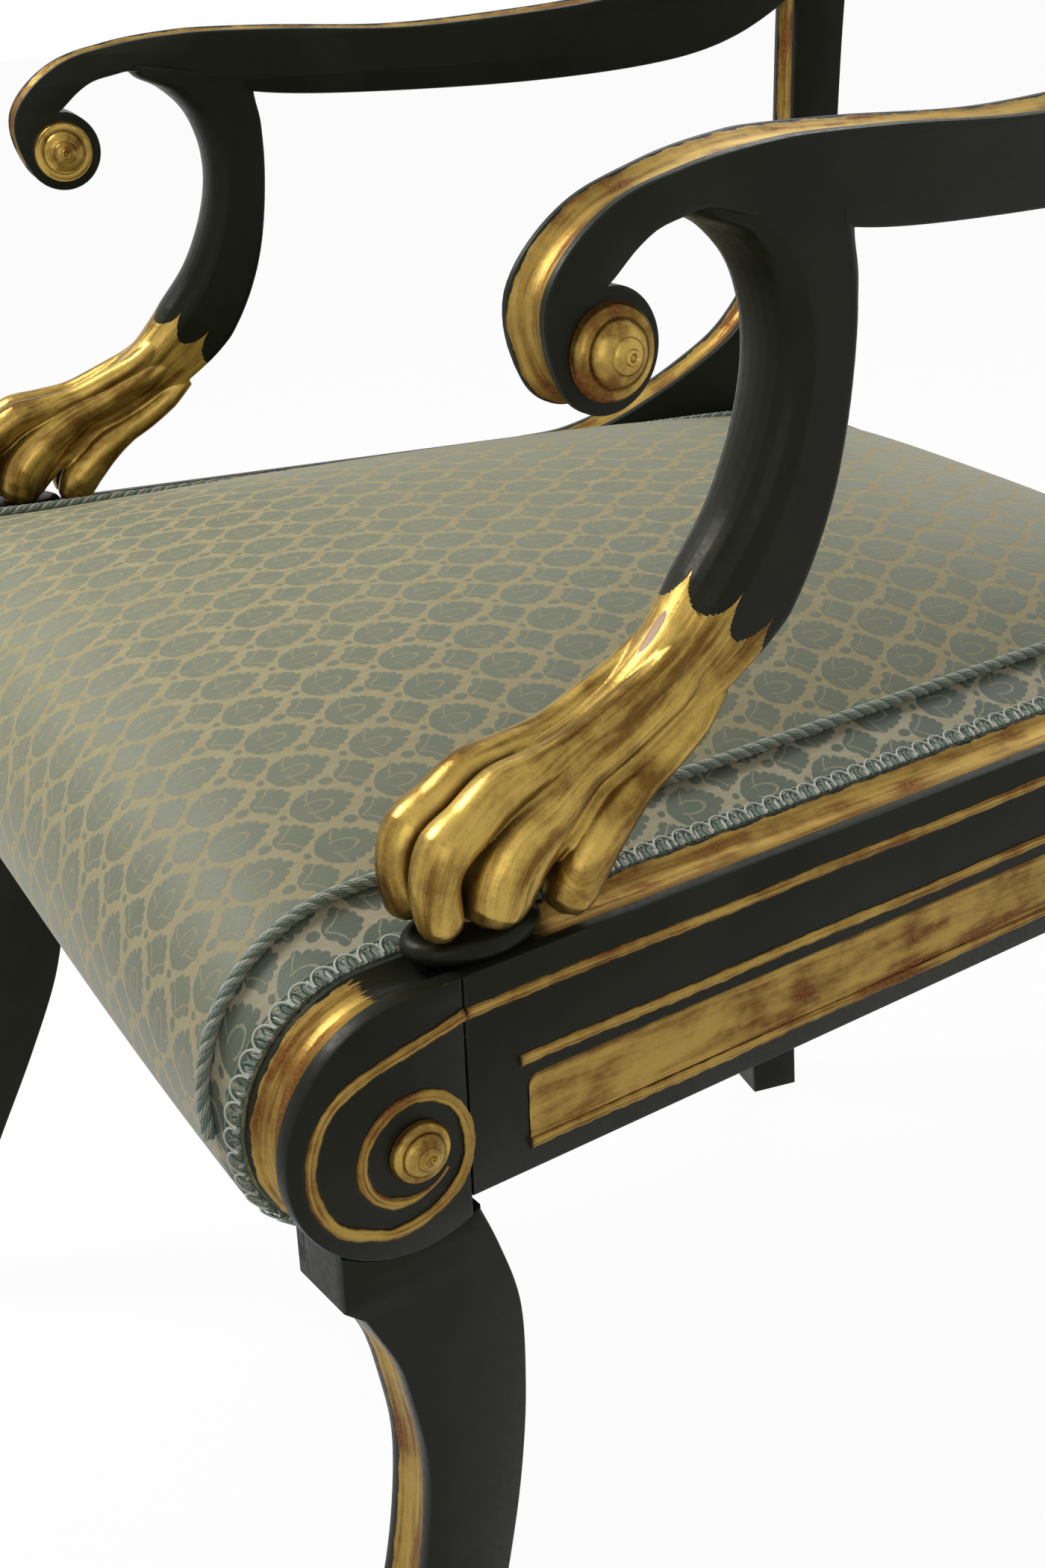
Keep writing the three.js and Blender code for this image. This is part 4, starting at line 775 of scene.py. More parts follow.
# The deep colours of the yarns are painted shade, for the gaps between threads and strands.
PAINTED_SHADE_GREEN = (0.018, 0.036, 0.026, 1)
GREEN_YARN = yarn_material("green yarn", (0.065, 0.105, 0.065, 1), (0.17, 0.22, 0.15, 1), PAINTED_SHADE_GREEN)
SAGE_YARN = yarn_material("sage yarn", (0.21, 0.24, 0.185, 1), (0.4, 0.4, 0.33, 1), PAINTED_SHADE_GREEN)
PALE_YARN = yarn_material("pale yarn", (0.34, 0.37, 0.31, 1), (0.5, 0.52, 0.44, 1), (0.12, 0.15, 0.12, 1))


def iron_material():
    """Blued iron tacks with a trace of rust."""
    material, tree, shader = new_material("blued iron", Roughness=0.45)
    rust = noise(tree, 300.0, 4.0, coordinates(tree))
    colour = mixed(tree, ramp(tree, rust, 0.5, 0.7), (0.03, 0.032, 0.038, 1), (0.12, 0.05, 0.02, 1))
    tree.links.new(colour, shader.inputs["Base Color"])
    tree.links.new(ramp(tree, rust, 0.4, 0.7, 0.9, 0.2), shader.inputs["Metallic"])
    return material


TACK_IRON = iron_material()
BEECH = beech_material()
BRASS = brass_material()
JUTE = cloth_material("jute", (0.16, 0.11, 0.05, 1), (0.42, 0.33, 0.18, 1), 420.0)
CAMBRIC = cloth_material("black cambric", (0.006, 0.006, 0.006, 1), (0.022, 0.022, 0.02, 1), 900.0)


# Slabs with rounded edges and hollows, for the sawn pieces of the sides

HOLLOW_SHARES = np.linspace(-1, 1, 13)


def grooved_slab(outline, inner, outer, hollow=None, arris=ARRIS, gilt_start=-50):
    """An outline in u and z, from one w to another, its edges rounded.
    hollow gives, for each point of the outline, the hollow's two edges in w and its depth."""
    outline = np.asarray(outline, float)
    square = outward(outline)
    lengths = lengths_along(outline)
    lengths = np.append(lengths, lengths[-1] + np.linalg.norm(outline[0] - outline[-1]))
    near = [(inner, arris), (inner + 0.3 * arris, 0.3 * arris), (inner + arris, 0)]
    far = [(outer - arris, 0), (outer - 0.3 * arris, 0.3 * arris), (outer, arris)]
    rows = []
    depths = []
    for i, point in enumerate(outline):
        start, end, depth = hollow(i) if hollow else (inner + 2 * arris, outer - 2 * arris, 0)
        middle, half = (start + end) / 2, (end - start) / 2
        dip = [(middle + s * half, depth * (1 - s * s)) for s in HOLLOW_SHARES]
        depths.append(depth)
        rows.append([(w, *(point - square[i] * inset)) for w, inset in near + dip + far])
    rows = np.array(rows)
    first, last = len(near), len(near) + len(HOLLOW_SHARES) - 1
    count = len(outline)

    def look_at(i, j):
        deep = depths[i] > 0.3 and depths[(i + 1) % count] > 0.3
        return BRUSHED if deep and first <= j < last else PAINTED

    def uv_at(i, j):
        return lengths[i] - gilt_start, HOLLOW_HALF * (j - (first + last) / 2) / ((last - first) / 2)

    shell = Shell()
    shell.grid(rows, uv_at, look_at, close_along=True)
    for column in (0, -1):
        shell.cap(rows[:, column], rows[:, column, 1:], PAINTED)
    return shell


def eased(places, start, end, length):
    """One between start and end along a path, easing to nothing over a length at each."""
    return np.clip((places - start) / length, 0, 1) * np.clip((end - places) / length, 0, 1)


# Arm: u in shares of the side's reach, z in shares of the arm's thickness from its top
ARM_TOP_SHARES = [
    (1, 1.69), (0.93, 1.07), (0.85, 0.59), (0.77, 0.28), (0.7, 0.12), (0.6, 0), (0.44, -0.1),
    (0.28, 0), (0.18, 0.03), (0.15, 0.01), (0.115, -0.03), (0.087, -0.08), (0.06, -0.15),
    (0.033, -0.23), (0.01, -0.34), (-0.01, -0.49), (-0.028, -0.68), (-0.043, -0.9), (-0.053, -1.15),
    (-0.055, -1.4), (-0.052, -1.64), (-0.046, -1.86),
]
ARM_UNDER_SHARES = [
    (0, -1.1), (0.004, -1.07), (0.012, -0.98), (0.026, -0.82), (0.046, -0.66), (0.07, -0.58),
    (0.092, -0.53), (0.13, -0.66), (0.2, -0.86), (0.242, -0.97), (0.3, -1.05), (0.44, -1.12),
    (0.62, -1.12), (0.77, -1), (0.85, -0.83), (0.905, -0.59), (0.95, -0.28), (1, 0.17),
]
EYE_DEGREES = (205, 440)
ARM_BORDERS = (3.4, 4.2)


def arm_edge(shares, steps):
    """A curve of the arm's side, in u and z."""
    return smooth([(u * SIDE_REACH, ARM_HEIGHT + z * ARM_THICKNESS) for u, z in shares], steps)


def arm_shell():
    """The arm and its scroll, hollowed along the top."""
    top = arm_edge(ARM_TOP_SHARES, 150)
    eye = arc((0, EYE_LEVEL), EYE_RADIUS, *EYE_DEGREES, 60)[1:-1]
    under = arm_edge(ARM_UNDER_SHARES, 130)
    outline = np.vstack([top, eye, under])
    outline[:, 0] = np.minimum(outline[:, 0], SIDE_REACH - JOINT_GAP)
    hollow_end = len(top) + 24

    def hollow(i):
        depth = HOLLOW_DEPTH * eased(i, -1, hollow_end, 8) if i < hollow_end else 0
        return -ARM_WIDTH / 2 + ARM_BORDERS[0], ARM_WIDTH / 2 - ARM_BORDERS[1], float(depth)

    return grooved_slab(outline, -ARM_WIDTH / 2, ARM_WIDTH / 2, hollow)


def taper_arm(piece, mirror):
    """Thins the scroll's inner side, from the neck to the eye."""
    hand = -1 if mirror else 1
    work = bmesh.new()
    work.from_mesh(piece.data)
    along = Vector((-hand * math.sin(SPLAY), math.cos(SPLAY), 0))
    across = Vector((hand * math.cos(SPLAY), math.sin(SPLAY), 0))
    origin = Vector((hand * ARM_SPREAD / 2, CHAIR_SHIFT, 0)) / METRE
    for place in (TAPER_START, TAPER_END):
        lids = [face for face in work.faces if abs(face.normal.dot(across)) > 0.999]
        edges = {edge for face in lids for edge in face.edges}
        corners = {corner for face in lids for corner in face.verts}
        cut = {"plane_co": origin + along * place / METRE, "plane_no": along}
        bmesh.ops.bisect_plane(work, geom=lids + list(edges | corners), dist=1e-5, **cut)
    thin = (ARM_WIDTH / 2 - EYE_INNER) / ARM_WIDTH
    for vertex in work.verts:
        away = vertex.co - origin
        u, w = away.dot(along) * METRE, away.dot(across) * METRE
        share = min(max((TAPER_START - u) / (TAPER_START - TAPER_END), 0), 1)
        scale = 1 + (thin - 1) * share
        vertex.co += across * ((ARM_WIDTH / 2 - w) * (1 - scale)) / METRE
    work.to_mesh(piece.data)
    work.free()
    piece.data.set_sharp_from_angle(angle=math.radians(30))


pair("arm", arm_shell(), "paint", WOOD_LOOKS, "arm", finish=taper_arm)


# Volute block with its spiral bead

VOLUTE_GILT_START = 25
SPIRAL_SHARES = [0.91, 0.87, 0.82, 0.69, 0.56, 0.48, 0.4, 0.395, 0.42, 0.44, 0.445, 0.41, 0.36, 0.32]
BEAD_PROUD = 1.4
BEAD_WIDTH = 4.2
BEAD_TAIL = 22
RAIL_BEAD_PROUD = 1.3
RAIL_BEAD_SHARES = (0.1, 0.5, 0.81)


def bead(path, width=BEAD_WIDTH, proud=BEAD_PROUD, ends=True, tail=0):
    """A round bead on the rail's outer face, along a path in u and z. Its end thins out over its tail."""
    path = np.asarray(path, float)
    way = unit(np.gradient(path, axis=0))
    square = np.stack([-way[:, 1], way[:, 0]], 1)
    angles = np.linspace(0, math.pi, 9)
    along = lengths_along(path)
    waves = 0.07 * np.sin(along * 0.31 + 1), 0.05 * np.sin(along * 0.83 + 2), 0.04 * np.sin(along * 1.7)
    taper = 1 + sum(waves)
    if tail:
        taper *= np.clip((along[-1] - along) / tail, 0.3, 1)
    if ends:
        places = np.arange(len(path))
        taper *= np.sqrt(np.clip(np.minimum(places, places[::-1]) / 3, 0.05, 1))
    rows = []
    for point, side, share in zip(path, square, taper):
        row = []
        for a in angles:
            across = side * math.cos(a) * share * width / 2
            row.append((RIM_OUTER + proud * share * math.sin(a), *(point + across)))
        for end in (-side, side):
            row.append((RIM_OUTER - proud, *(point + end * share * width / 2)))
        rows.append(row)
    step = float(np.linalg.norm(path[1] - path[0]))
    shell = Shell()
    shell.grid(rows, lambda i, j: (i * step, HOLLOW_HALF * (j / 4 - 1)), BRUSHED, close_across=True)
    shell.point_ends(rows, BRUSHED, pitch=0.5)
    return shell


def spiral_path(steps=150):
    """The line of the spiral bead, from the top of the volute to its eye."""
    places = np.linspace(0, len(SPIRAL_SHARES) - 1, steps)
    fine = smooth([(k, share) for k, share in enumerate(SPIRAL_SHARES)], 400)
    radius = np.interp(places, fine[:, 0], fine[:, 1]) * SCROLL_RADIUS
    angle = math.pi / 2 + places * math.pi / 4
    return np.stack([SCROLL_BACKSET + radius * np.cos(angle), SPIRAL_EYE + radius * np.sin(angle)], 1)


def scroll_shell():
    """The volute in front of the side rail, its rim hollowed on the front half."""
    back = JOINT_FRONT - JOINT_GAP / 2
    lowest = 360 - math.degrees(math.acos((back - SCROLL_BACKSET) / SCROLL_RADIUS))
    rim = arc((SCROLL_BACKSET, SCROLL_LEVEL), SCROLL_RADIUS, 90, lowest, 120)
    front = evenly(np.array([(back, RAIL_TOP), (SCROLL_BACKSET, RAIL_TOP)]), 8)[:-1]
    side = evenly(np.array([rim[-1], (back, RAIL_TOP)]), 12)[1:-1]
    outline = np.vstack([front, rim, side])
    last = len(front) + int(0.73 * len(rim))

    def hollow(i):
        depth = HOLLOW_DEPTH * float(eased(i, -6, last, 8)) if i < last else 0
        return RIM_INNER + 3, RIM_OUTER - RIM_BORDER - 1.5, depth

    return grooved_slab(outline, RIM_INNER, RIM_OUTER, hollow, gilt_start=VOLUTE_GILT_START)


RAIL_BEAD_LEVELS = [RAIL_BOTTOM + share * RAIL_DEPTH + 2.5 for share in RAIL_BEAD_SHARES]
lead_in = [(JOINT_FRONT - JOINT_GAP / 2, RAIL_BEAD_LEVELS[-1])]
spiral = spiral_path()
joined = smooth(np.vstack([lead_in, spiral[12:40:9]]), 40)
bead_path = evenly(np.vstack([joined, spiral[40:]]), 190)
scroll = scroll_shell().add(bead(bead_path, ends=False, tail=BEAD_TAIL))
pair("scroll_block", scroll, "paint", WOOD_LOOKS, "scroll_block")


# Side rail

PANEL_START = 22
PANEL_CORNER = 4.0
PANEL_SUNK = 0.6
PANEL_MARGINS = (2, 6.5)
RAIL_GILT_START = PAD_BACKSET + 21
rail_ends = (JOINT_FRONT + JOINT_GAP / 2, JOINT_REAR - JOINT_GAP / 2)


def rail_shell():
    """The side rail: one section from the front joint to the rear one, with a ledge inside for the seat."""
    inner, outer = RIM_INNER + 1.5, RIM_OUTER - RIM_BORDER - 0.5
    middle, half = (inner + outer) / 2, (outer - inner) / 2
    hollow = [(middle + s * half, RAIL_TOP - HOLLOW_DEPTH * (1 - s * s)) for s in HOLLOW_SHARES[::-1]]
    e = ARRIS
    section = [
        (LEDGE_INNER, RAIL_BOTTOM), (RIM_OUTER - e, RAIL_BOTTOM),
        (RIM_OUTER - 0.3 * e, RAIL_BOTTOM + 0.3 * e), (RIM_OUTER, RAIL_BOTTOM + e),
        (RIM_OUTER, RAIL_TOP - e), (RIM_OUTER - 0.3 * e, RAIL_TOP - 0.3 * e), (RIM_OUTER - e, RAIL_TOP),
        *hollow, (RIM_INNER, RAIL_TOP), (RIM_INNER, LEDGE_TOP), (LEDGE_INNER, LEDGE_TOP),
    ]
    first = 7
    places = np.linspace(*rail_ends, 40)
    rows = [[(w, u, z) for w, z in section] for u in places]
    shell = Shell()
    gilded = range(first, first + len(hollow) - 1)

    def uv_at(i, j):
        return places[i] - RAIL_GILT_START, HOLLOW_HALF * (j - first - 6) / 6

    shell.grid(rows, uv_at, lambda i, j: BRUSHED if j in gilded else PAINTED, close_across=True)
    for end in (0, -1):
        shell.cap(np.array(rows[end]), section, PAINTED)
    return shell


def rail_trim():
    """The three beads and the gilt panel between the lower two."""
    shell = Shell()
    long_way = np.linspace(rail_ends[0], rail_ends[1], 120)
    short_way = np.linspace(JOINT_FRONT + PANEL_START, rail_ends[1], 110)
    for way, level in zip((short_way, short_way - 3, long_way), RAIL_BEAD_LEVELS):
        wave = 0.25 * np.sin(way / 17 + level)
        shell.add(bead(np.stack([way, level + wave], 1), proud=RAIL_BEAD_PROUD, ends=False))
    low, high = RAIL_BEAD_LEVELS[0] + PANEL_MARGINS[0], RAIL_BEAD_LEVELS[1] - PANEL_MARGINS[1]
    start = JOINT_FRONT + PANEL_START
    round_end = start + PANEL_CORNER * (1 - np.cos(np.linspace(0, math.pi / 2, 8)))
    places = np.concatenate([round_end, np.linspace(start + PANEL_CORNER, rail_ends[1], 60)[1:]])
    rows = []
    for u in places:
        share = min((u - start) / PANEL_CORNER, 1)
        top = high - PANEL_CORNER * (1 - math.sqrt(max(1 - (1 - share) ** 2, 0)))
        profile = [
            (0, low), (0.5, low + 0.4), (0.55, low + 3), (0.3, (low + top) / 2), (0.55, top - 3),
            (0.5, top - 0.4), (0, top), (-PANEL_SUNK, top), (-PANEL_SUNK, low),
        ]
        rows.append([(RIM_OUTER + lift, u, z) for lift, z in profile])
    shell.grid(rows, lambda i, j: (places[i] + 90, HOLLOW_HALF * (j - 3) / 3.3), BRUSHED, close_across=True)
    for end in (0, -1):
        shell.cap(np.array(rows[end]), np.array(rows[end])[:, [0, 2]], BRUSHED)
    return shell


pair("side_rail", rail_shell().add(rail_trim()), "paint", WOOD_LOOKS, "side_rail")


# Rear post: u in shares of the sweep's length or the stile's rake, z in shares of each one's height

SWEEP_SHARES = [
    (0, 0), (0.16, 0.01), (0.32, 0.055), (0.48, 0.13), (0.63, 0.215), (0.78, 0.325), (0.9, 0.49),
    (0.975, 0.67), (1, 0.85), (1, 1),
]
STILE_SHARES = [(0, 0), (0.02, 0.3), (0.1, 0.5), (0.33, 0.72), (0.66, 0.88), (1, 1)]
REAR_LEG_FRONT_SHARES = [(0, 0), (-0.2, 0.25), (-0.35, 0.5), (-0.38, 0.75), (-0.4, 0.93), (-0.62, 0.985)]
REAR_LEG_BACK_SHARES = [(0, 1), (-0.12, 0.75), (-0.22, 0.5), (-0.12, 0.22), (0, 0)]
POST_HEIGHT = ARM_HEIGHT + 172
POST_DEPTH = 27
POST_RAKE = 34
FOOT_BACKSET = SIDE_REACH - 11
FOOT_DEPTH = 30
STILE_FOOT = RAIL_TOP + 150


def stile_points(place, foot):
    return [(place + u * POST_RAKE, foot + z * (POST_HEIGHT - foot)) for u, z in STILE_SHARES]


def post_shell():
    """The rear leg, the sweep above the rail and the stile, sawn in one piece."""
    length, height = SIDE_REACH - JOINT_REAR, STILE_FOOT - RAIL_TOP
    sweep = [(JOINT_REAR + u * length, RAIL_TOP + z * height) for u, z in SWEEP_SHARES]
    front = np.vstack([smooth(sweep, 70), smooth(stile_points(SIDE_REACH, STILE_FOOT), 60)[1:]])
    back = stile_points(SIDE_REACH + POST_DEPTH, STILE_FOOT - RAIL_DEPTH)
    foot = [(FOOT_BACKSET + FOOT_DEPTH * (1 + u), z * RAIL_BOTTOM) for u, z in REAR_LEG_BACK_SHARES]
    behind = smooth(back[::-1] + foot, 90)
    shin = smooth([(FOOT_BACKSET + u * FOOT_DEPTH, z * RAIL_BOTTOM) for u, z in REAR_LEG_FRONT_SHARES], 40)
    start = JOINT_REAR + JOINT_GAP / 2
    front[0] = (start, RAIL_TOP)
    joint = evenly(np.array([(start, RAIL_BOTTOM), (start, RAIL_TOP)]), 8)[:-1]
    under = evenly(np.array([shin[-1], (start, RAIL_BOTTOM)]), 20)[1:-1]
    outline = np.vstack([front, behind, shin, under, joint])
    last = len(front)

    def hollow(i):
        depth = HOLLOW_DEPTH * float(eased(i, -6, last, 2)) if i < last else 0
        return RIM_INNER + RIM_BORDER, RIM_OUTER - RIM_BORDER, depth

    return grooved_slab(outline, RIM_INNER, RIM_OUTER, hollow)


pair("rear_post", post_shell(), "paint", WOOD_LOOKS, "rear_post")


# Front leg: u in shares of its reach, z in shares of the volute's height

LEG_FRONT_SHARES = [
    (-0.18, 0.828), (-0.11, 0.79), (-0.065, 0.74), (-0.035, 0.69), (-0.035, 0.65), (-0.075, 0.57),
    (-0.175, 0.47), (-0.335, 0.34), (-0.545, 0.2), (-0.755, 0.09), (-0.945, 0),
]
LEG_BACK_SHARES = [
    (-0.69, 0), (-0.5, 0.1), (-0.25, 0.23), (0.01, 0.36), (0.2, 0.47), (0.3, 0.57),
    (0.35, 0.65), (0.37, 0.72), (0.36, 0.8), (0.29, 0.86), (0.21, 0.91),
]
LEG_OUTER = 18
BLOCK_FRONT = SCROLL_BACKSET - 0.64 * SCROLL_RADIUS
BLOCK_DEPTH = 50
BLOCK_BOTTOM = SCROLL_LEVEL - SCROLL_RADIUS - 12
BLOCK_INNER = -10
BLOCK_CHAMFER = (7, 6.5)
HORN_DEPTH = 13
HORN_LAP = 6
LEG_HOLLOW_DEPTH = 1.6
LEG_TENON = (-20, RIM_INNER - 0.3, JOINT_FRONT - JOINT_GAP - 22, JOINT_FRONT - JOINT_GAP)


def leg_points(shares, steps):
    """A curve of the leg's side, in u and z."""
    return smooth([(SCROLL_BACKSET + u * LEG_REACH, z * SCROLL_LEVEL) for u, z in shares], steps)


def leg_shell():
    """The sabre leg and its block in one slab, hollowed to take the volute from below."""
    front = leg_points(LEG_FRONT_SHARES, 110)
    back = leg_points(LEG_BACK_SHARES, 110)
    reach = SCROLL_RADIUS + JOINT_GAP
    back = back[np.linalg.norm(back - [SCROLL_BACKSET, SCROLL_LEVEL], axis=1) > reach + 0.4]
    first = math.degrees(math.acos((back[-1][0] - SCROLL_BACKSET) / reach))
    last = math.degrees(math.acos((BLOCK_FRONT - SCROLL_BACKSET) / reach))
    cup = arc((SCROLL_BACKSET, SCROLL_LEVEL), reach, -first, -last, 40)
    slant = np.array([BLOCK_FRONT + 0.3 * BLOCK_DEPTH, BLOCK_BOTTOM - 0.16 * BLOCK_DEPTH])
    corner = np.array([BLOCK_FRONT, BLOCK_BOTTOM])
    side = evenly(np.array([cup[-1], corner]), 8)[1:]
    chamfer = (BLOCK_FRONT + BLOCK_CHAMFER[0], BLOCK_BOTTOM - BLOCK_CHAMFER[1])
    under = evenly(np.array([corner, chamfer, front[0]]), 8)[1:-1]
    outline = np.vstack([front, back, cup, side, under])
    last_deep = len(front) - 4

    def hollow(i):
        depth = LEG_HOLLOW_DEPTH * float(eased(i, 2, last_deep, 5)) if i < last_deep else 0
        return RIM_INNER + RIM_BORDER, LEG_OUTER - RIM_BORDER - 0.5, depth

    shell = grooved_slab(outline, RIM_INNER, LEG_OUTER, hollow, gilt_start=7)
    top = SCROLL_LEVEL - SCROLL_RADIUS - JOINT_GAP
    rear, step = BLOCK_FRONT + BLOCK_DEPTH, BLOCK_FRONT + HORN_DEPTH
    low, peak = top - HORN_LAP, APRON_FOOT + HORN_LAP
    flange = [corner, slant, (rear, BLOCK_BOTTOM), (rear, top), (BLOCK_FRONT, top)]
    horn = [(BLOCK_FRONT, low), (step, low), (step, peak), (BLOCK_FRONT, peak)]
    shell.add(grooved_slab(flange, BLOCK_INNER, RIM_INNER + 3, arris=0.4))
    shell.add(grooved_slab(horn, BLOCK_INNER, RIM_INNER + 1, arris=0.4))
    inner, outer, near, far = LEG_TENON
    low, high = RAIL_BOTTOM - 18, LEDGE_TOP
    tenon = [(near, low), (far, low), (far, high), (near, high)]
    return shell.add(grooved_slab(tenon, inner, outer, arris=0.8))


pair("front_leg", leg_shell(), "paint", WOOD_LOOKS, "front_leg")


def copied(node, name):
    """A copy of a node's mesh, its doubles merged and its flat faces joined."""
    piece = add_object(name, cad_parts[node].data.copy())
    piece.data.name = name
    work = bmesh.new()
    work.from_mesh(piece.data)
    bmesh.ops.remove_doubles(work, verts=work.verts, dist=1e-5)
    bmesh.ops.dissolve_limit(work, angle_limit=math.radians(1.0), verts=work.verts, edges=work.edges)
    work.to_mesh(piece.data)
    work.free()
    return piece


def eased_copy(node, width=0.8, sharp=35):
    """A node's copy with its sharp edges rounded."""
    piece = copied(node, f"{node}_finished")
    bevel = piece.modifiers.new("Round edges", "BEVEL")
    bevel.width = width / METRE
    bevel.segments = 2
    bevel.limit_method = "ANGLE"
    bevel.angle_limit = math.radians(sharp)
    bevel.use_clamp_overlap = True
    settled(piece)
    piece.data.shade_smooth()
    piece.data.set_sharp_from_angle(angle=math.radians(sharp))
    return piece


# Turned bosses: radius and height in shares
BOSS_SHARES = [
    (0, 0.93), (0.06, 0.93), (0.08, 0.97), (0.115, 1.0), (0.15, 0.99), (0.17, 0.95), (0.18, 0.9),
    (0.25, 0.87), (0.33, 0.83), (0.37, 0.79), (0.385, 0.73), (0.44, 0.72), (0.52, 0.68),
    (0.6, 0.61), (0.67, 0.52), (0.7, 0.45), (0.715, 0.38), (0.76, 0.39), (0.83, 0.4), (0.9, 0.36),
    (0.955, 0.27), (0.985, 0.15), (1, 0), (0.9, -0.04), (0, -0.04),
]


def boss_shell(radius, height, w, u, z, toward, sides=56):
    """A turned boss with its middle at w, u and z. toward is 1 for outward and -1 for inward."""
    rows = []
    for share, lift in BOSS_SHARES:
        angles = np.linspace(0, math.tau, sides, endpoint=False)
        ring = share * radius * np.stack([np.cos(angles), np.sin(angles)], 1)
        rows.append([(w + toward * lift * height, u + a, z + b) for a, b in ring])
    shell = Shell()
    pitch = radius * math.tau / sides
    shell.grid(rows, lambda i, j: (j * pitch, i * radius / len(rows)), GILDED, close_across=True)
    return shell


ARM_BOSS = (ARM_BOSS_RADIUS, ARM_BOSS_HEIGHT)
SCROLL_BOSS = (10.5, 8)
for name, size, w, u, z, toward in (
    ("arm_boss_outer", ARM_BOSS, ARM_WIDTH / 2 + JOINT_GAP, 0, EYE_LEVEL, 1),
    ("arm_boss_inner", ARM_BOSS, EYE_INNER - JOINT_GAP, 0, EYE_LEVEL, -1),
    ("scroll_boss", SCROLL_BOSS, RIM_OUTER + JOINT_GAP, SCROLL_BACKSET, SPIRAL_EYE, 1),
):
    pair(name, boss_shell(*size, w, u, z, toward), "gilding", [TURNED_GILDING], name)


# Arm support and its lion's paw

SUPPORT_SHARES = [
    ((0.35, 0.945), (0.98, 0.905), 1), ((0.4, 0.915), (0.985, 0.862), 1),
    ((0.51, 0.89), (1.005, 0.815), 1), ((0.63, 0.84), (1.01, 0.77), 1),
    ((0.695, 0.775), (1.01, 0.725), 1), ((0.715, 0.706), (1, 0.66), 1),
    ((0.695, 0.637), (0.98, 0.59), 1), ((0.64, 0.563), (0.945, 0.516), 1),
    ((0.56, 0.493), (0.885, 0.44), 1), ((0.463, 0.438), (0.8, 0.367), 1),
    ((0.36, 0.387), (0.69, 0.3), 1), ((0.22, 0.33), (0.55, 0.24), 1),
    ((0.06, 0.288), (0.39, 0.185), 1.02), ((-0.105, 0.257), (0.23, 0.143), 1.04),
    ((-0.27, 0.236), (0.085, 0.11), 1.06), ((-0.44, 0.2), (0, 0.08), 1.3),
    ((-0.57, 0.15), (-0.14, 0.07), 1.35), ((-0.61, 0.09), (-0.24, 0.04), 1.35),
    ((-0.6, 0.02), (-0.3, 0.02), 1.3),
]
SECTION_SHARES = [
    (-1, 0.06), (-0.95, 0.015), (-0.9, 0), (0, 0), (0.9, 0), (0.95, 0.015), (1, 0.06), (1, 0.36),
    (1, 0.66), (0.95, 0.76), (0.85, 0.84), (0.7, 0.91), (0.5, 0.96), (0.25, 0.99), (0, 1),
    (-0.25, 0.99), (-0.5, 0.96), (-0.7, 0.91), (-0.85, 0.84), (-0.95, 0.76), (-1, 0.66), (-1, 0.36),
]
CUT_START_SHARE = 0.5
CUT_LENGTH_SHARE = 0.16
CUT_FRONT_SHARE = 0.1
CUT_BACK_SHARE = 0.12
CUT_SIDE_SHARE = 0.33
CARVING_VOXEL = 0.62


def support_place(u, z):
    """A place in u and z from shares of the support's backset and rise."""
    return np.array([u * SUPPORT_BACKSET, SOLE_LEVEL + z * SUPPORT_RISE])


def tube(path, radii, sides=28):
    """A round limb along a path of points w, u and z, its ends closed."""
    path = np.asarray(path, float)
    way = unit(np.gradient(path, axis=0))
    flat = unit(np.cross(way, (1.0, 0.0, 0.0)))
    third = np.cross(way, flat)
    angles = np.linspace(0, math.tau, sides, endpoint=False)
    rows = [
        [point + radius * (math.cos(a) * b + math.sin(a) * c) for a in angles]
        for point, radius, b, c in zip(path, radii, flat, third)
    ]
    shell = Shell()
    closed = [np.repeat(path[:1], sides, 0), *rows, np.repeat(path[-1:], sides, 0)]
    shell.grid(closed, lambda i, j: (i, j), 0, close_across=True)
    return shell


def limb(points, radii, steps=24):
    """A tube through a few places, each of w, u and z, that swells with its radii."""
    path = smooth(points, steps)
    joints = [int(np.argmin(np.linalg.norm(path - point, axis=1))) for point in points]
    return tube(path, np.interp(range(len(path)), joints, radii))


def support_shell():
    """The S of the support, cut in below its middle so that the carved ridges stand out from it."""
    steps = 120
    stations = np.array([[*front, *back, width] for front, back, width in SUPPORT_SHARES])
    rise = round(SUPPORT_RISE)
    spread = np.array([SUPPORT_BACKSET, rise, SUPPORT_BACKSET, rise, ARM_WIDTH / 2])
    fine = smooth(stations * spread, steps) / spread
    rows = []
    for k, (front_u, front_z, back_u, back_z, width) in enumerate(fine):
        cut_in = min(max((k / steps - CUT_START_SHARE) / CUT_LENGTH_SHARE, 0), 1)
        front, back = support_place(front_u, front_z), support_place(back_u, back_z)
        front = front + (back - front) * CUT_FRONT_SHARE * cut_in
        back = back + (front - back) * CUT_BACK_SHARE * cut_in
        wide = width * ARM_WIDTH / 2 * (1 - CUT_SIDE_SHARE * cut_in)
        rows.append([(w * wide, *(back + (front - back) * v)) for w, v in SECTION_SHARES])
    shell = Shell()
    shell.grid(rows, lambda i, j: (i, j), 0, close_across=True)
    shell.point_ends(rows, 0)
    return shell


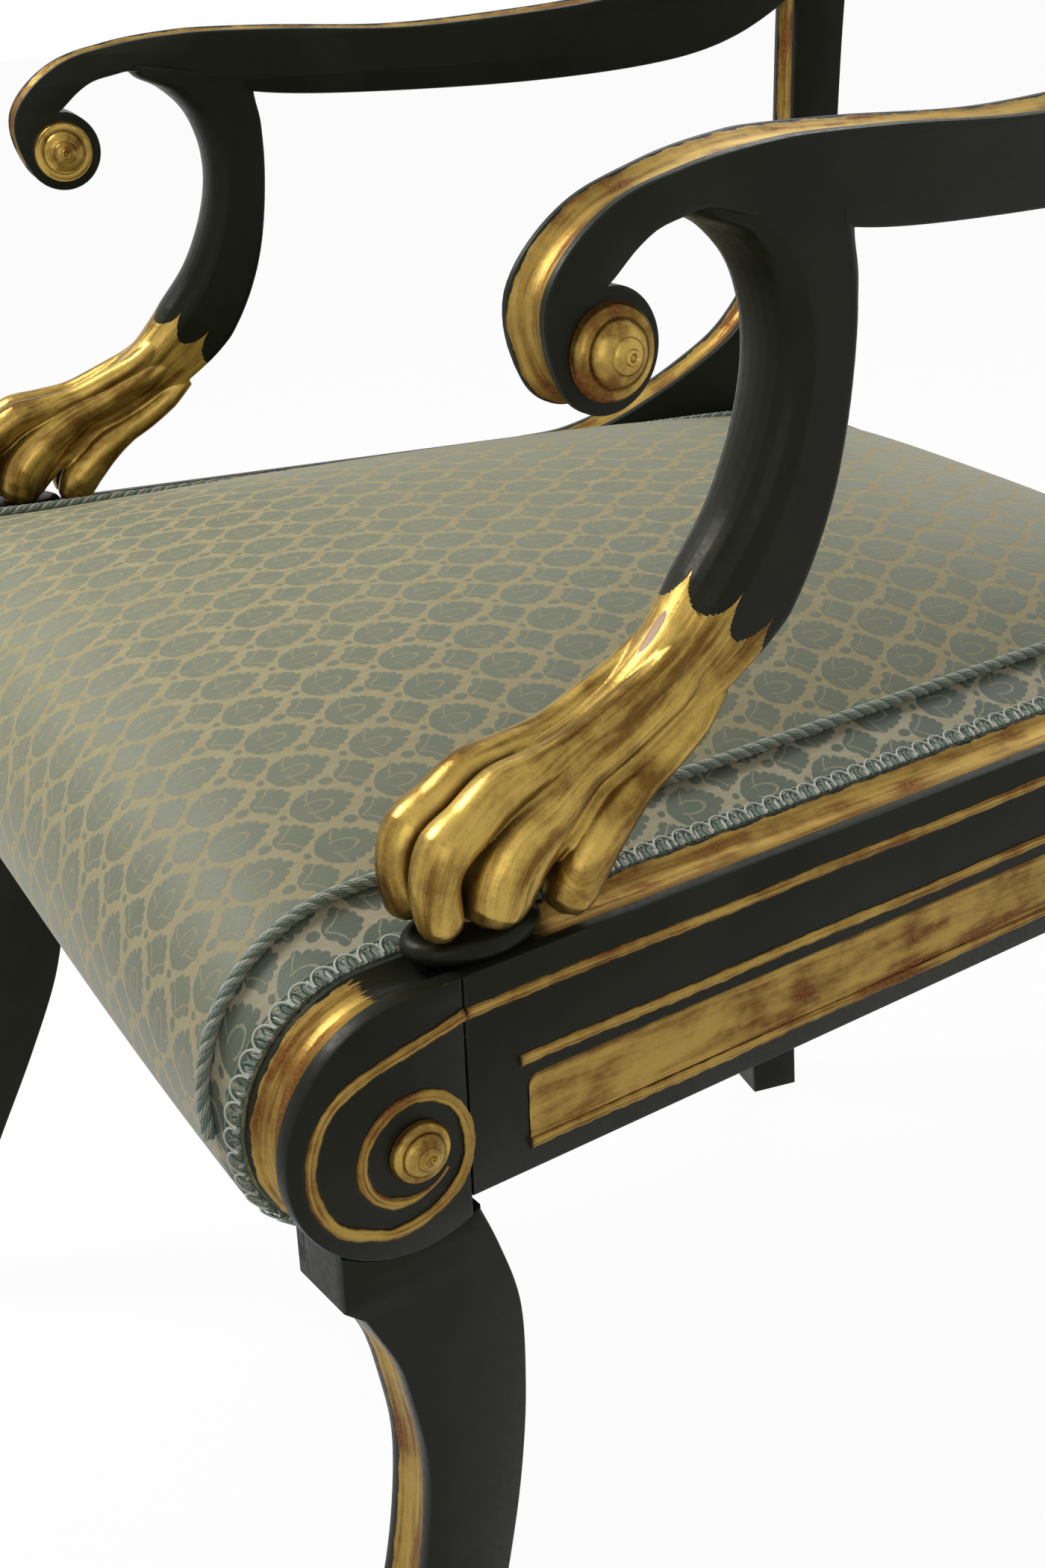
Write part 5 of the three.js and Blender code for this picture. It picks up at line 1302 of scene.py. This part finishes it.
# The carved ridges run down the shank and swell to toes. Each place is u in shares of the support's
# backset, z in shares of its rise, the half spread and the radius in mm.
FRONT_TOE = [
    (0.43, 0.36, 6.5, 3.5), (0.275, 0.297, 7.2, 5.4), (0.09, 0.258, 7.2, 5.6),
    (-0.105, 0.223, 7.3, 6.0), (-0.285, 0.207, 7.8, 6.9), (-0.405, 0.196, 8.3, 8.0),
    (-0.53, 0.163, 8.8, 8.1), (-0.628, 0.136, 9.2, 8.7), (-0.664, 0.097, 9.2, 7.9),
    (-0.66, 0.055, 9.2, 7.6), (-0.652, 0.034, 9.2, 7.3),
]
OUTER_TOE = [
    (0.491, 0.298, 6.0, 3.5), (0.282, 0.255, 7.5, 6.4), (0.066, 0.213, 8.0, 7.2),
    (-0.079, 0.19, 8.4, 7.8), (-0.207, 0.156, 8.8, 9.6), (-0.315, 0.12, 8.4, 11.8),
    (-0.395, 0.084, 8.2, 12.8), (-0.435, 0.05, 8.2, 12.2),
]
BACK_TOE = [
    (0.505, 0.24, 7.0, 3.5), (0.389, 0.201, 8.0, 5.4), (0.26, 0.164, 8.2, 6.0),
    (0.147, 0.138, 8.5, 6.4), (0.049, 0.112, 9.4, 7.8), (-0.062, 0.072, 10.0, 9.2),
    (-0.129, 0.04, 10.4, 9.6), (-0.156, 0.018, 10.4, 9.0),
]


def toe(places, hand):
    """A ridge along its places, with a round end at its foot."""
    lean = np.linspace(0, PAD_OFFSET / 2, len(places))
    points = [
        (shift + hand * spread, *support_place(u, z))
        for shift, (u, z, spread, _) in zip(lean, places)
    ]
    radii = [radius for *_, radius in places]
    way = np.subtract(points[-1], points[-2])
    way /= np.linalg.norm(way)
    foot, last = np.array(points[-1]), radii[-1]
    for angle in np.radians((30, 55, 75, 86)):
        points.append(tuple(foot + way * last * math.sin(angle)))
        radii.append(last * math.cos(angle))
    return limb(points, radii, 60)


def paw_shell():
    """Three ridges on each hand, from the shank to the toes."""
    shell = Shell()
    for hand in (-1, 1):
        for places in (FRONT_TOE, OUTER_TOE, BACK_TOE):
            shell.add(toe(places, hand))
    return shell


def carve(piece):
    """Makes one skin of the joined shells, and softens it as a carver's cut is."""
    remesh = piece.modifiers.new("One skin", "REMESH")
    remesh.mode = "VOXEL"
    remesh.voxel_size = CARVING_VOXEL / METRE
    soften = piece.modifiers.new("Soften", "SMOOTH")
    soften.factor = 0.5
    soften.iterations = 3
    settled(piece)
    piece.data.shade_smooth()
    piece.data.polygons.foreach_set("material_index", np.full(len(piece.data.polygons), CARVED))


def carve_support(piece, mirror):
    """Carves the support, and lays its UV along and around its spine."""
    carve(piece)
    hand = -1 if mirror else 1
    layer = piece.data.uv_layers.new(name="UVMap")
    co = np.empty(len(piece.data.vertices) * 3)
    piece.data.vertices.foreach_get("co", co)
    co = co.reshape(-1, 3) * [hand * METRE, METRE, METRE]
    x, y = co[:, 0] - ARM_SPREAD / 2, co[:, 1] - CHAIR_SHIFT
    w = x * math.cos(SPLAY) + y * math.sin(SPLAY)
    u = -x * math.sin(SPLAY) + y * math.cos(SPLAY)
    middles = [support_place(*(np.add(front, back) / 2)) for front, back, _ in SUPPORT_SHARES]
    spine = smooth(middles, 200)
    reach = lengths_along(spine)
    gap = (u[:, None] - spine[None, :, 0]) ** 2 + (co[:, 2, None] - spine[None, :, 1]) ** 2
    nearest = gap.argmin(1)
    way = unit(np.gradient(spine, axis=0)[nearest])
    off = np.stack([u, co[:, 2]], 1) - spine[nearest]
    forward = off[:, 0] * way[:, 1] - off[:, 1] * way[:, 0]
    around = np.arctan2(w, forward) * ROUND_RADIUS
    index = np.empty(len(piece.data.loops), int)
    piece.data.loops.foreach_get("vertex_index", index)
    uv = np.stack([reach[nearest] / METRE, around / METRE], 1)[index]
    layer.data.foreach_set("uv", uv.ravel())


support = support_shell().add(paw_shell())
pair("arm_support", support, "paint", WOOD_LOOKS, "arm_support", finish=carve_support)


# Pad under the paw

PAD_HALF_WIDTH = 15.5
PAD_HALF_LENGTH = 24
PAD_THICKNESS = 7


def pad_shell(sides=64):
    """The oval pad between the paw and the rail."""
    profile = [
        (0, 0), (0.9, 0), (0.96, 0.1), (0.995, 0.28), (1, 0.45), (0.985, 0.66), (0.94, 0.84), (0.86, 0.96),
        (0.78, 1), (0, 1),
    ]
    angles = np.linspace(0, math.tau, sides, endpoint=False)
    rows = []
    for share, lift in profile:
        wide, long = share * PAD_HALF_WIDTH, share * PAD_HALF_LENGTH
        level = RAIL_TOP + JOINT_GAP + lift * PAD_THICKNESS
        rows.append([
            (PAD_OFFSET + wide * math.cos(a), PAD_BACKSET + long * math.sin(a), level)
            for a in angles
        ])
    shell = Shell()
    shell.grid(rows, lambda i, j: (j * 2, i * 2), PAINTED, close_across=True)
    return shell


pair("paw_pad", pad_shell(), "paint", WOOD_LOOKS, "paw_pad")


# Seat cushion. Each row is one line across it, from the foot of the apron to the back edge:
# y in shares of the seat's depth, z in shares from the apron's foot to the cord.

CUSHION_ROWS = [
    ((0.084, 0.01), (0.08, 0.01), (0.077, 0.055), 0.3),
    ((0.0637, 0.04), (0.058, 0.03), (0.048, 0.076), 0.3),
    ((0.0386, 0.136), (0.031, 0.116), (0.023, 0.136), 0.3),
    ((0.0212, 0.277), (0.0135, 0.257), (0.0058, 0.267), 0.32),
    ((0.0145, 0.449), (0.0058, 0.4385), (0, 0.459), 0.38),
    ((0.0203, 0.61), (0.0077, 0.63), (0.002, 0.65), 0.52),
    ((0.0386, 0.761), (0.0232, 0.796), (0.0154, 0.842), 0.7),
    ((0.0656, 0.862), (0.0521, 0.922), (0.0425, 1.01), 0.86),
    ((0.102, 0.902), (0.0946, 0.993), (0.0869, 1.147), 1),
    ((0.18, 0.902), (0.18, 1), (0.18, 1.268), 1),
    ((0.3, 0.902), (0.3, 1), (0.3, 1.345), 1),
    ((0.45, 0.902), (0.45, 1), (0.45, 1.375), 1),
    ((0.74, 0.902), (0.74, 1), (0.74, 1.345), 1),
    ((0.913, 0.902), (0.913, 0.996), (0.913, 1.19), 1),
    ((0.975, 0.897), (0.975, 0.963), (0.975, 1.036), 1),
    ((0.998, 0.88), (0.998, 0.892), (0.998, 0.912), 1),
    ((1, 0.73), (1, 0.73), (1, 0.73), 1),
]
SEAT_FRONT = -133
APRON_BACK = -87
SEAT_BACK = SIDE_REACH - 5
CORD_LEVEL = RAIL_TOP + 8.8
CROWN_RISE = 34
CROWN_LIFT = 0.375
BAND_WIDTH = 26
CORD_RADIUS = 3
CUSHION_SIDE = RIM_INNER - JOINT_GAP
CUSHION_FLOOR = LEDGE_TOP + 2.9
CUSHION_STEPS = 150
BAND_LINES = 8
GIMP_SHARES = (0.72, 0.985)
# The stretch of the seat's outline that has the braid, in steps of the cushion's lines
GIMP_STATIONS = slice(10, 139)


def side_x(w, y):
    """Where the side frame's w is in x, at a place along the seat."""
    return ARM_SPREAD / 2 + w / math.cos(SPLAY) - y * math.tan(SPLAY)


def cushion_place(y, z):
    """A place in shares of the seat. Above the cord, the shares count the crown's rise."""
    rise = (z - 1) * CROWN_RISE / CROWN_LIFT if z > 1 else 0
    level = APRON_FOOT + min(z, 1) * (CORD_LEVEL - APRON_FOOT) + rise
    return np.array([SEAT_FRONT + y * (SEAT_BACK - SEAT_FRONT), level])


def cushion_line(on_band, share):
    """A line over the seat from its front foot to its back edge: on the crown, from the middle to the cord,
    or on the side band, from the cord to the rim."""
    points = []
    for side, cord, crown, inset in CUSHION_ROWS:
        edge = cushion_place(*cord)
        w = CUSHION_SIDE - inset * BAND_WIDTH * (1 - share if on_band else 1)
        target, part = (cushion_place(*side), share) if on_band else (edge, share**3)
        start = edge if on_band else cushion_place(*crown)
        y, z = start + (target - start) * part
        points.append((side_x(w, y) * (1 if on_band else share), y, z))
    return curve_at(points, CUSHION_STEPS)


def curve_at(points, steps):
    """The same curve as smooth, cut at even shares of its stations, so that lines side by side match."""
    p = with_ends(points)
    curve = []
    for place in np.linspace(0, len(p) - 3, steps + 1):
        k = min(int(place), len(p) - 4)
        curve.append(between(*p[k : k + 4], place - k))
    return np.array(curve)


def in_chair(points):
    """Points drawn on the chair's middle, moved along to where the chair stands."""
    return np.asarray(points, float) + [0, CHAIR_SHIFT, 0]


def cushion_shell():
    """The cover and the hollow under it. Its UV is the cloth's own measure, from the middle of its back."""
    crown = [cushion_line(False, share) for share in np.linspace(0, 1, 28)]
    band = [cushion_line(True, share) for share in np.linspace(0, 1, BAND_LINES + 1)[1:]]
    half = np.array(crown + band)
    other = half[:0:-1] * [-1, 1, 1]
    rings = np.concatenate([other, half])
    middle = len(other)
    step = np.linalg.norm(np.diff(rings, axis=0), axis=2)
    across = np.concatenate([np.zeros((1, step.shape[1])), np.cumsum(step, 0)])
    across -= across[middle]
    run = np.linalg.norm(np.diff(rings, axis=1), axis=2)
    along = np.concatenate([np.zeros((len(rings), 1)), np.cumsum(run, 1)], 1)
    along -= along[:, -1:]
    last_of_top = len(rings) - 1 - BAND_LINES

    def uv_at(i, j):
        return across[i, j], along[i, j]

    def look_at(i, j):
        return int(i < BAND_LINES or i >= last_of_top)

    shell = Shell()
    shell.grid(rings, uv_at, look_at)
    back = APRON_BACK - JOINT_GAP
    rows = []
    for line in rings:
        first, last = line[0], line[-1]
        x = first[0] + (last[0] - first[0]) * (back - first[1]) / (last[1] - first[1])
        inside = [(*last[:2], CUSHION_FLOOR), (x, back, CUSHION_FLOOR), (x, back, APRON_FOOT)]
        rows.append([last, *inside, first])
    shell.grid(rows, lambda i, j: (i * 8, j * 8), 0)
    for end in (0, -1):
        ring = np.vstack([rings[end], rows[end][1:-1]])
        shell.cap(ring, ring[:, 1:])
    return shell


cushion = mesh_of("seat_cushion_cover", cushion_shell(), in_chair, sharp=60)
dress(cushion, "damask", [TOP_DAMASK, PAINTED_SHEEN_BAND_DAMASK], "seat_cushion")


# Twisted cord and looped braid on the seat's edges

def frames(line, inward):
    """The way along a line on the seat, the way inward on the cloth, and the way out of it."""
    way = unit(np.gradient(line, axis=0))
    out = unit(np.cross(way, inward - line))
    return way, np.cross(out, way), out


def resampled(line, *others, step):
    """A line at even steps, and what goes with it at the same places."""
    lengths = lengths_along(line)
    places = np.arange(0, lengths[-1], step)

    def cut(data):
        return np.stack([np.interp(places, lengths, column) for column in data.T], 1)

    return [cut(data) for data in (line, *others)]


CORD_PITCH = 13.5
CORD_STRANDS = 4
CORD_STEP = 0.5
CORD_SUNK = 1.0
CORD_INNER_SHARE = 0.94
# The stretch of the seat's outline that has the cord, in steps of the cushion's lines
CORD_STATIONS = slice(38, 143)
CORD_ORBIT = 1.12
STRAND_RADIUS = 1.18


def cord_shell():
    """Strands that wind round the seam's line."""
    seam, crown = (cushion_line(False, share)[CORD_STATIONS] for share in (1, CORD_INNER_SHARE))
    _, across, out = frames(seam, crown)
    middle = seam + out * (CORD_RADIUS - CORD_SUNK)
    middle, across, out = resampled(middle, across, out, step=CORD_STEP)
    turns = np.arange(len(middle)) * CORD_STEP / CORD_PITCH * math.tau
    shell = Shell()
    turn = np.linspace(0, math.tau, 8, endpoint=False)
    for strand in range(CORD_STRANDS):
        phase = turns + strand * math.tau / CORD_STRANDS
        line = middle + CORD_ORBIT * (np.cos(phase)[:, None] * across + np.sin(phase)[:, None] * out)
        _, side, top = frames(line, line + across)
        rows = [
            [point + STRAND_RADIUS * (math.cos(a) * b + math.sin(a) * c) for a in turn]
            for point, b, c in zip(line, side, top)
        ]
        shell.grid(rows, lambda i, j: (i * CORD_STEP, j), strand % 2, close_across=True)
        shell.point_ends(rows, strand % 2, middles=line)
    return shell


pair("side_piping", cord_shell(), "braid", [GREEN_YARN, SAGE_YARN], "side_piping", place=in_chair, sharp=80)


def gimp_lines():
    """The braid's line at the wood, its line on the cloth, and the way out of the cloth."""
    inner, outer = (cushion_line(True, share)[GIMP_STATIONS] for share in GIMP_SHARES)
    return resampled(outer, inner, frames(outer, inner)[2], step=1.0)


RIB_PITCH = 2
RIB_PROFILE = [(-0.06, 0.2), (-0.06, 0.8), (0.08, 1.2), (0.35, 1.3), (0.6, 1.1), (0.72, 0.7), (0.72, 0.2)]


def gimp_shell(keep):
    """The braid's ground: a band of ribs, dark green and sage in turn."""
    outer, inner, out = (data[keep] for data in gimp_lines())
    rows = []
    for k, (start, end, up) in enumerate(zip(outer, inner, out)):
        lift = 1 + 0.35 * math.cos(k * math.tau / RIB_PITCH)
        rows.append([start + (end - start) * place + up * (high * lift) for place, high in RIB_PROFILE])
    shell = Shell()
    shell.grid(rows, lambda i, j: (j, i), lambda i, j: i // RIB_PITCH % 3 == 0, close_across=True)
    for end in (0, -1):
        shell.cap(np.array(rows[end]), RIB_PROFILE)
    return shell


def points_tree(name, sizes):
    """A node tree for what stands on points. Its inputs are its sizes in metres and its look."""
    tree = bpy.data.node_groups.new(name, "GeometryNodeTree")
    tree.interface.new_socket("Geometry", in_out="INPUT", socket_type="NodeSocketGeometry")
    for label, value in sizes:
        socket = tree.interface.new_socket(label, in_out="INPUT", socket_type="NodeSocketFloat")
        socket.default_value = value
    tree.interface.new_socket("Look", in_out="INPUT", socket_type="NodeSocketMaterial")
    tree.interface.new_socket("Geometry", in_out="OUTPUT", socket_type="NodeSocketGeometry")
    return tree, tree.nodes.new("NodeGroupInput").outputs, tree.nodes.new("NodeGroupOutput").inputs


def real_copies(tree, given, made, model, scale, turn=None):
    """Ends a tree with a real copy of the model on each point."""
    values = {"Points": given["Geometry"], "Instance": model, "Scale": scale}
    if turn:
        values["Rotation"] = turn
    copies = add_node(tree, "GeometryNodeInstanceOnPoints", values).outputs["Instances"]
    real = add_node(tree, "GeometryNodeRealizeInstances", {"Geometry": copies}).outputs["Geometry"]
    dressed = add_node(tree, "GeometryNodeSetMaterial", {"Geometry": real, "Material": given["Look"]})
    tree.links.new(dressed.outputs["Geometry"], made["Geometry"])
    return tree


def on_points(name, points, tree, look, turns=None):
    """What the tree makes on points in metres, each with its own turn where turns are given."""
    mesh = bpy.data.meshes.new(name)
    mesh.from_pydata([tuple(point) for point in points], [], [])
    if turns:
        turn = mesh.attributes.new("turn", "FLOAT_VECTOR", "POINT")
        turn.data.foreach_set("vector", np.array([list(t) for t in turns]).ravel())
    piece = add_object(name, mesh)
    modifier = piece.modifiers.new("On points", "NODES")
    modifier.node_group = tree
    modifier[next(s.identifier for s in tree.interface.items_tree if s.name == "Look")] = look
    settled(piece)
    piece.data.shade_smooth()
    return piece


LOOP_PITCH = 8
LOOP_INSET = 0.12


def loop_tree():
    """Arched loops of thread, one at each point, turned by the point's own angles."""
    sizes = [("Loop radius", 0.004), ("Thread radius", 0.00042)]
    tree, given, made = points_tree("braid loops", sizes)
    bow = {"Start Angle": math.radians(-12), "Sweep Angle": math.radians(204)}
    arch = add_node(tree, "GeometryNodeCurveArc", {"Resolution": 15, "Radius": given["Loop radius"], **bow})
    round_thread = {"Resolution": 6, "Radius": given["Thread radius"]}
    thread = add_node(tree, "GeometryNodeCurvePrimitiveCircle", round_thread)
    swept = {"Curve": arch.outputs["Curve"], "Profile Curve": thread.outputs["Curve"], "Fill Caps": True}
    loop = add_node(tree, "GeometryNodeCurveToMesh", swept)
    turn = add_node(tree, "GeometryNodeInputNamedAttribute", {"Name": "turn"}, data_type="FLOAT_VECTOR")
    stretch = (1.0, 1.12, 1.0)
    return real_copies(tree, given, made, loop.outputs["Mesh"], stretch, turn.outputs["Attribute"])


LOOPS = loop_tree()


def gimp_loops(name, keep, mirror, look, first, lift):
    """A row of arches that stands on the braid's ground, with its feet at the wood."""
    outer, inner, out = (data[keep][first::LOOP_PITCH] for data in gimp_lines())
    across = inner - outer
    middle = outer + across * LOOP_INSET + out * lift
    hand = np.array([-1 if mirror else 1, 1, 1])
    turns = []
    for up, normal in zip(unit(across), out):
        up, normal = Vector(up * hand), Vector(normal * hand)
        turns.append(Matrix((up.cross(normal), up, normal)).transposed().to_euler())
    return on_points(name, in_chair(middle) * hand / METRE, LOOPS, look, turns)


GIMP_Y = gimp_lines()[0][:, 1]
PAD_GAP = 25
gimp_front = np.flatnonzero(GIMP_Y < PAD_BACKSET - PAD_GAP + 3)
gimp_rear = np.flatnonzero(GIMP_Y > PAD_BACKSET + PAD_GAP - 3)
for name, keep in (("front_gimp", gimp_front), ("rear_gimp", gimp_rear)):
    pair(name, gimp_shell(keep), "braid", [GREEN_YARN, PALE_YARN], name, place=in_chair, sharp=60)
    for side, mirror in (("right", False), ("left", True)):
        for row, look, first, lift in (("pale", PALE_YARN, 4, 1.8), ("green", GREEN_YARN, 8, 1.2)):
            loops = gimp_loops(f"{name}_{row}_loops_{side}", keep, mirror, look, first, lift)
            dress(loops, "braid", [look])


# The back, the cross rails and the small wood: the solids' own shapes, their edges rounded

for node in ("crest_rail", "lower_back_rail", "rear_seat_rail"):
    dress(eased_copy(node), "paint", WOOD_LOOKS, node)
for node in (
    "lyre_sound_box", "lyre_horn_right", "lyre_horn_left",
    "lyre_yoke", "lyre_rosette_right", "lyre_rosette_left",
):
    dress(eased_copy(node, 0.7), "gilding", [GILDING], node)
for number in range(1, 5):
    dress(eased_copy(f"lyre_string_{number}", 0.2), "brass", [BRASS], f"lyre_string_{number}")
for node in (
    "front_seat_rail", "front_corner_block_right", "front_corner_block_left",
    "rear_corner_block_right", "rear_corner_block_left",
):
    dress(eased_copy(node), "beech", [BEECH], node)


def plain_look(name, material):
    """Gives a node that is shown as it is its material."""
    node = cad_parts[name]
    node.data.materials.clear()
    node.data.materials.append(material)


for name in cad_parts:
    if "dowel" in name:
        plain_look(name, BEECH)
plain_look("seat_webbing", JUTE)
plain_look("seat_hessian", JUTE)


# The dust cloth under the seat: stretched over the frame's ledges, tacked, and sagging a little

cloth_low, cloth_high = (np.array(side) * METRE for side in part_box("dust_cloth"))
CLOTH_SAG = 5.0
CLOTH_EDGE = 4.0
CLOTH_THICKNESS = 0.8
TACK_PITCH = 32.0
TACK_RADIUS = 3.6
TACK_INSET = 5.0


def cloth_half(y):
    """Half the cloth's width at a place along the seat: it narrows toward the back with the rails."""
    share = (y - cloth_low[1]) / (cloth_high[1] - cloth_low[1])
    return cloth_high[0] - share * (cloth_high[1] - cloth_low[1]) * math.tan(SPLAY) - CLOTH_EDGE


def cloth_level(across, along):
    """The cloth's height at shares of its width and length: taut at the tacks, slack between them."""
    hang = CLOTH_SAG * (1 - across**2) * (1 - along**2)
    pull = 0.5 * np.sin(across * 21) * along**8 + 0.5 * np.sin(along * 23) * across**8
    return cloth_low[2] + CLOTH_THICKNESS / 2 - hang + pull


def dust_cloth():
    """The cloth as a grid over its width and length."""
    shares = np.linspace(-1, 1, 49)
    middle = (cloth_low[1] + cloth_high[1]) / 2
    reach = (cloth_high[1] - cloth_low[1]) / 2 - CLOTH_EDGE
    rows = []
    for along in shares:
        y = middle + along * reach
        half = cloth_half(y)
        rows.append([(across * half, y, cloth_level(across, along)) for across in shares])
    shell = Shell()
    shell.grid(rows, lambda i, j: (j * 10, i * 10), 0)
    return shell


def tack_tree():
    """A domed tack at each point."""
    tree, given, made = points_tree("tacks", [("Head radius", TACK_RADIUS / METRE)])
    ball = {"Segments": 14, "Rings": 8, "Radius": given["Head radius"]}
    head = add_node(tree, "GeometryNodeMeshUVSphere", ball)
    return real_copies(tree, given, made, head.outputs["Mesh"], (1.0, 1.0, 0.35))


def dust_cloth_tacks():
    """Tacks in a line along the cloth's four edges."""
    front = cloth_low[1] + CLOTH_EDGE + TACK_INSET
    back = cloth_high[1] - CLOTH_EDGE - TACK_INSET
    points = []
    for y in (front, back):
        half = cloth_half(y) - TACK_INSET
        for x in np.linspace(-half, half, int(2 * half / TACK_PITCH) + 1):
            points.append((x, y, cloth_low[2]))
    for y in np.linspace(front, back, int((back - front) / TACK_PITCH) + 1)[1:-1]:
        for hand in (-1, 1):
            points.append((hand * (cloth_half(y) - TACK_INSET), y, cloth_low[2]))
    return on_points("dust_cloth_tacks", np.array(points) / METRE, tack_tree(), TACK_IRON)


cloth = mesh_of("dust_cloth_sheet", dust_cloth(), lambda points: np.asarray(points, float))
thicken = cloth.modifiers.new("Thickness", "SOLIDIFY")
thicken.thickness = CLOTH_THICKNESS / METRE
settled(cloth)
dress(cloth, "cambric", [CAMBRIC], "dust_cloth")
dress(dust_cloth_tacks(), "cambric", [TACK_IRON])


# Camera, floor and light

CAMERA_PLACE = Vector((742.416, -277.026 + CHAIR_SHIFT, 764.316)) / METRE
CAMERA_TURN, CAMERA_TILT, CAMERA_ROLL = (math.radians(a) for a in (62.618, 25.129, -2.027))
LENS = 2703.117 * 36 / 2100


def make_camera():
    """The photo's camera."""
    forward = Vector((
        -math.sin(CAMERA_TURN) * math.cos(CAMERA_TILT),
        math.cos(CAMERA_TURN) * math.cos(CAMERA_TILT),
        -math.sin(CAMERA_TILT),
    ))
    level = forward.cross(Vector((0, 0, 1))).normalized()
    rise = level.cross(forward)
    right = level * math.cos(CAMERA_ROLL) + rise * math.sin(CAMERA_ROLL)
    up = rise * math.cos(CAMERA_ROLL) - level * math.sin(CAMERA_ROLL)
    data = bpy.data.cameras.new("camera")
    data.lens = LENS
    data.sensor_width = 36
    data.clip_start = 0.05
    camera = add_object("camera", data)
    turned = Matrix((right, up, -forward)).transposed().to_4x4()
    camera.matrix_world = Matrix.Translation(CAMERA_PLACE) @ turned
    bpy.context.scene.camera = camera


def area_light(name, place, aim, size, power, colour=(1, 1, 1)):
    """A soft box that looks at its aim."""
    data = bpy.data.lights.new(name, "AREA")
    data.shape = "RECTANGLE"
    data.size, data.size_y = size
    data.energy = power
    data.color = colour
    light = add_object(name, data)
    light.location = place
    light.rotation_euler = (Vector(aim) - Vector(place)).to_track_quat("-Z", "Y").to_euler()


def seen_rays(tree):
    """One on the rays that look, and nothing on those that only light."""
    path = add_node(tree, "ShaderNodeLightPath").outputs
    seen = larger(tree, path["Is Camera Ray"], path["Is Glossy Ray"])
    return larger(tree, seen, path["Is Transmission Ray"])


def make_world():
    """White to look at, and dimmer where it lights."""
    world = bpy.data.worlds.new("studio")
    world.use_nodes = True
    tree = world.node_tree
    plain = tree.nodes["Background"]
    plain.inputs["Color"].default_value = (1, 1, 1, 1)
    plain.inputs["Strength"].default_value = 0.26
    white = add_node(tree, "ShaderNodeBackground", {"Color": (1, 1, 1, 1), "Strength": 1.0})
    sides = {0: seen_rays(tree), 1: plain.outputs[0], 2: white.outputs[0]}
    both = add_node(tree, "ShaderNodeMixShader", sides)
    tree.links.new(both.outputs[0], tree.nodes["World Output"].inputs["Surface"])
    bpy.context.scene.world = world


def make_floor():
    """A floor that is nearly white to look at, as in the photo."""
    material, tree, shader = new_material("pale floor", Roughness=0.8)
    shader.inputs["Base Color"].default_value = (0.82, 0.82, 0.8, 1)
    glow = add_node(tree, "ShaderNodeEmission", {"Color": (1, 1, 1, 1), "Strength": 1.0})
    share = times(tree, seen_rays(tree), 0.95)
    both = add_node(tree, "ShaderNodeMixShader", {0: share, 1: shader.outputs[0], 2: glow.outputs[0]})
    tree.links.new(both.outputs[0], tree.nodes["Material Output"].inputs["Surface"])
    mesh = bpy.data.meshes.new("floor")
    reach = 8.0
    corners = [(-reach, -reach, 0), (reach, -reach, 0), (reach, reach, 0), (-reach, reach, 0)]
    mesh.from_pydata(corners, [], [(0, 1, 2, 3)])
    mesh.materials.append(material)
    floor = add_object("floor", mesh)


make_camera()
make_floor()
make_world()
area_light("key", (-1.0, -1.15, 2.15), (0, 0, 0.45), (0.8, 0.8), 44)
area_light("fill", (2.4, -1.6, 1.5), (0, 0, 0.4), (1.8, 1.8), 12)
area_light("back", (-1.4, 1.9, 2.4), (0, 0, 0.5), (1.8, 1.2), 22)
bpy.context.scene.view_settings.view_transform = "Standard"
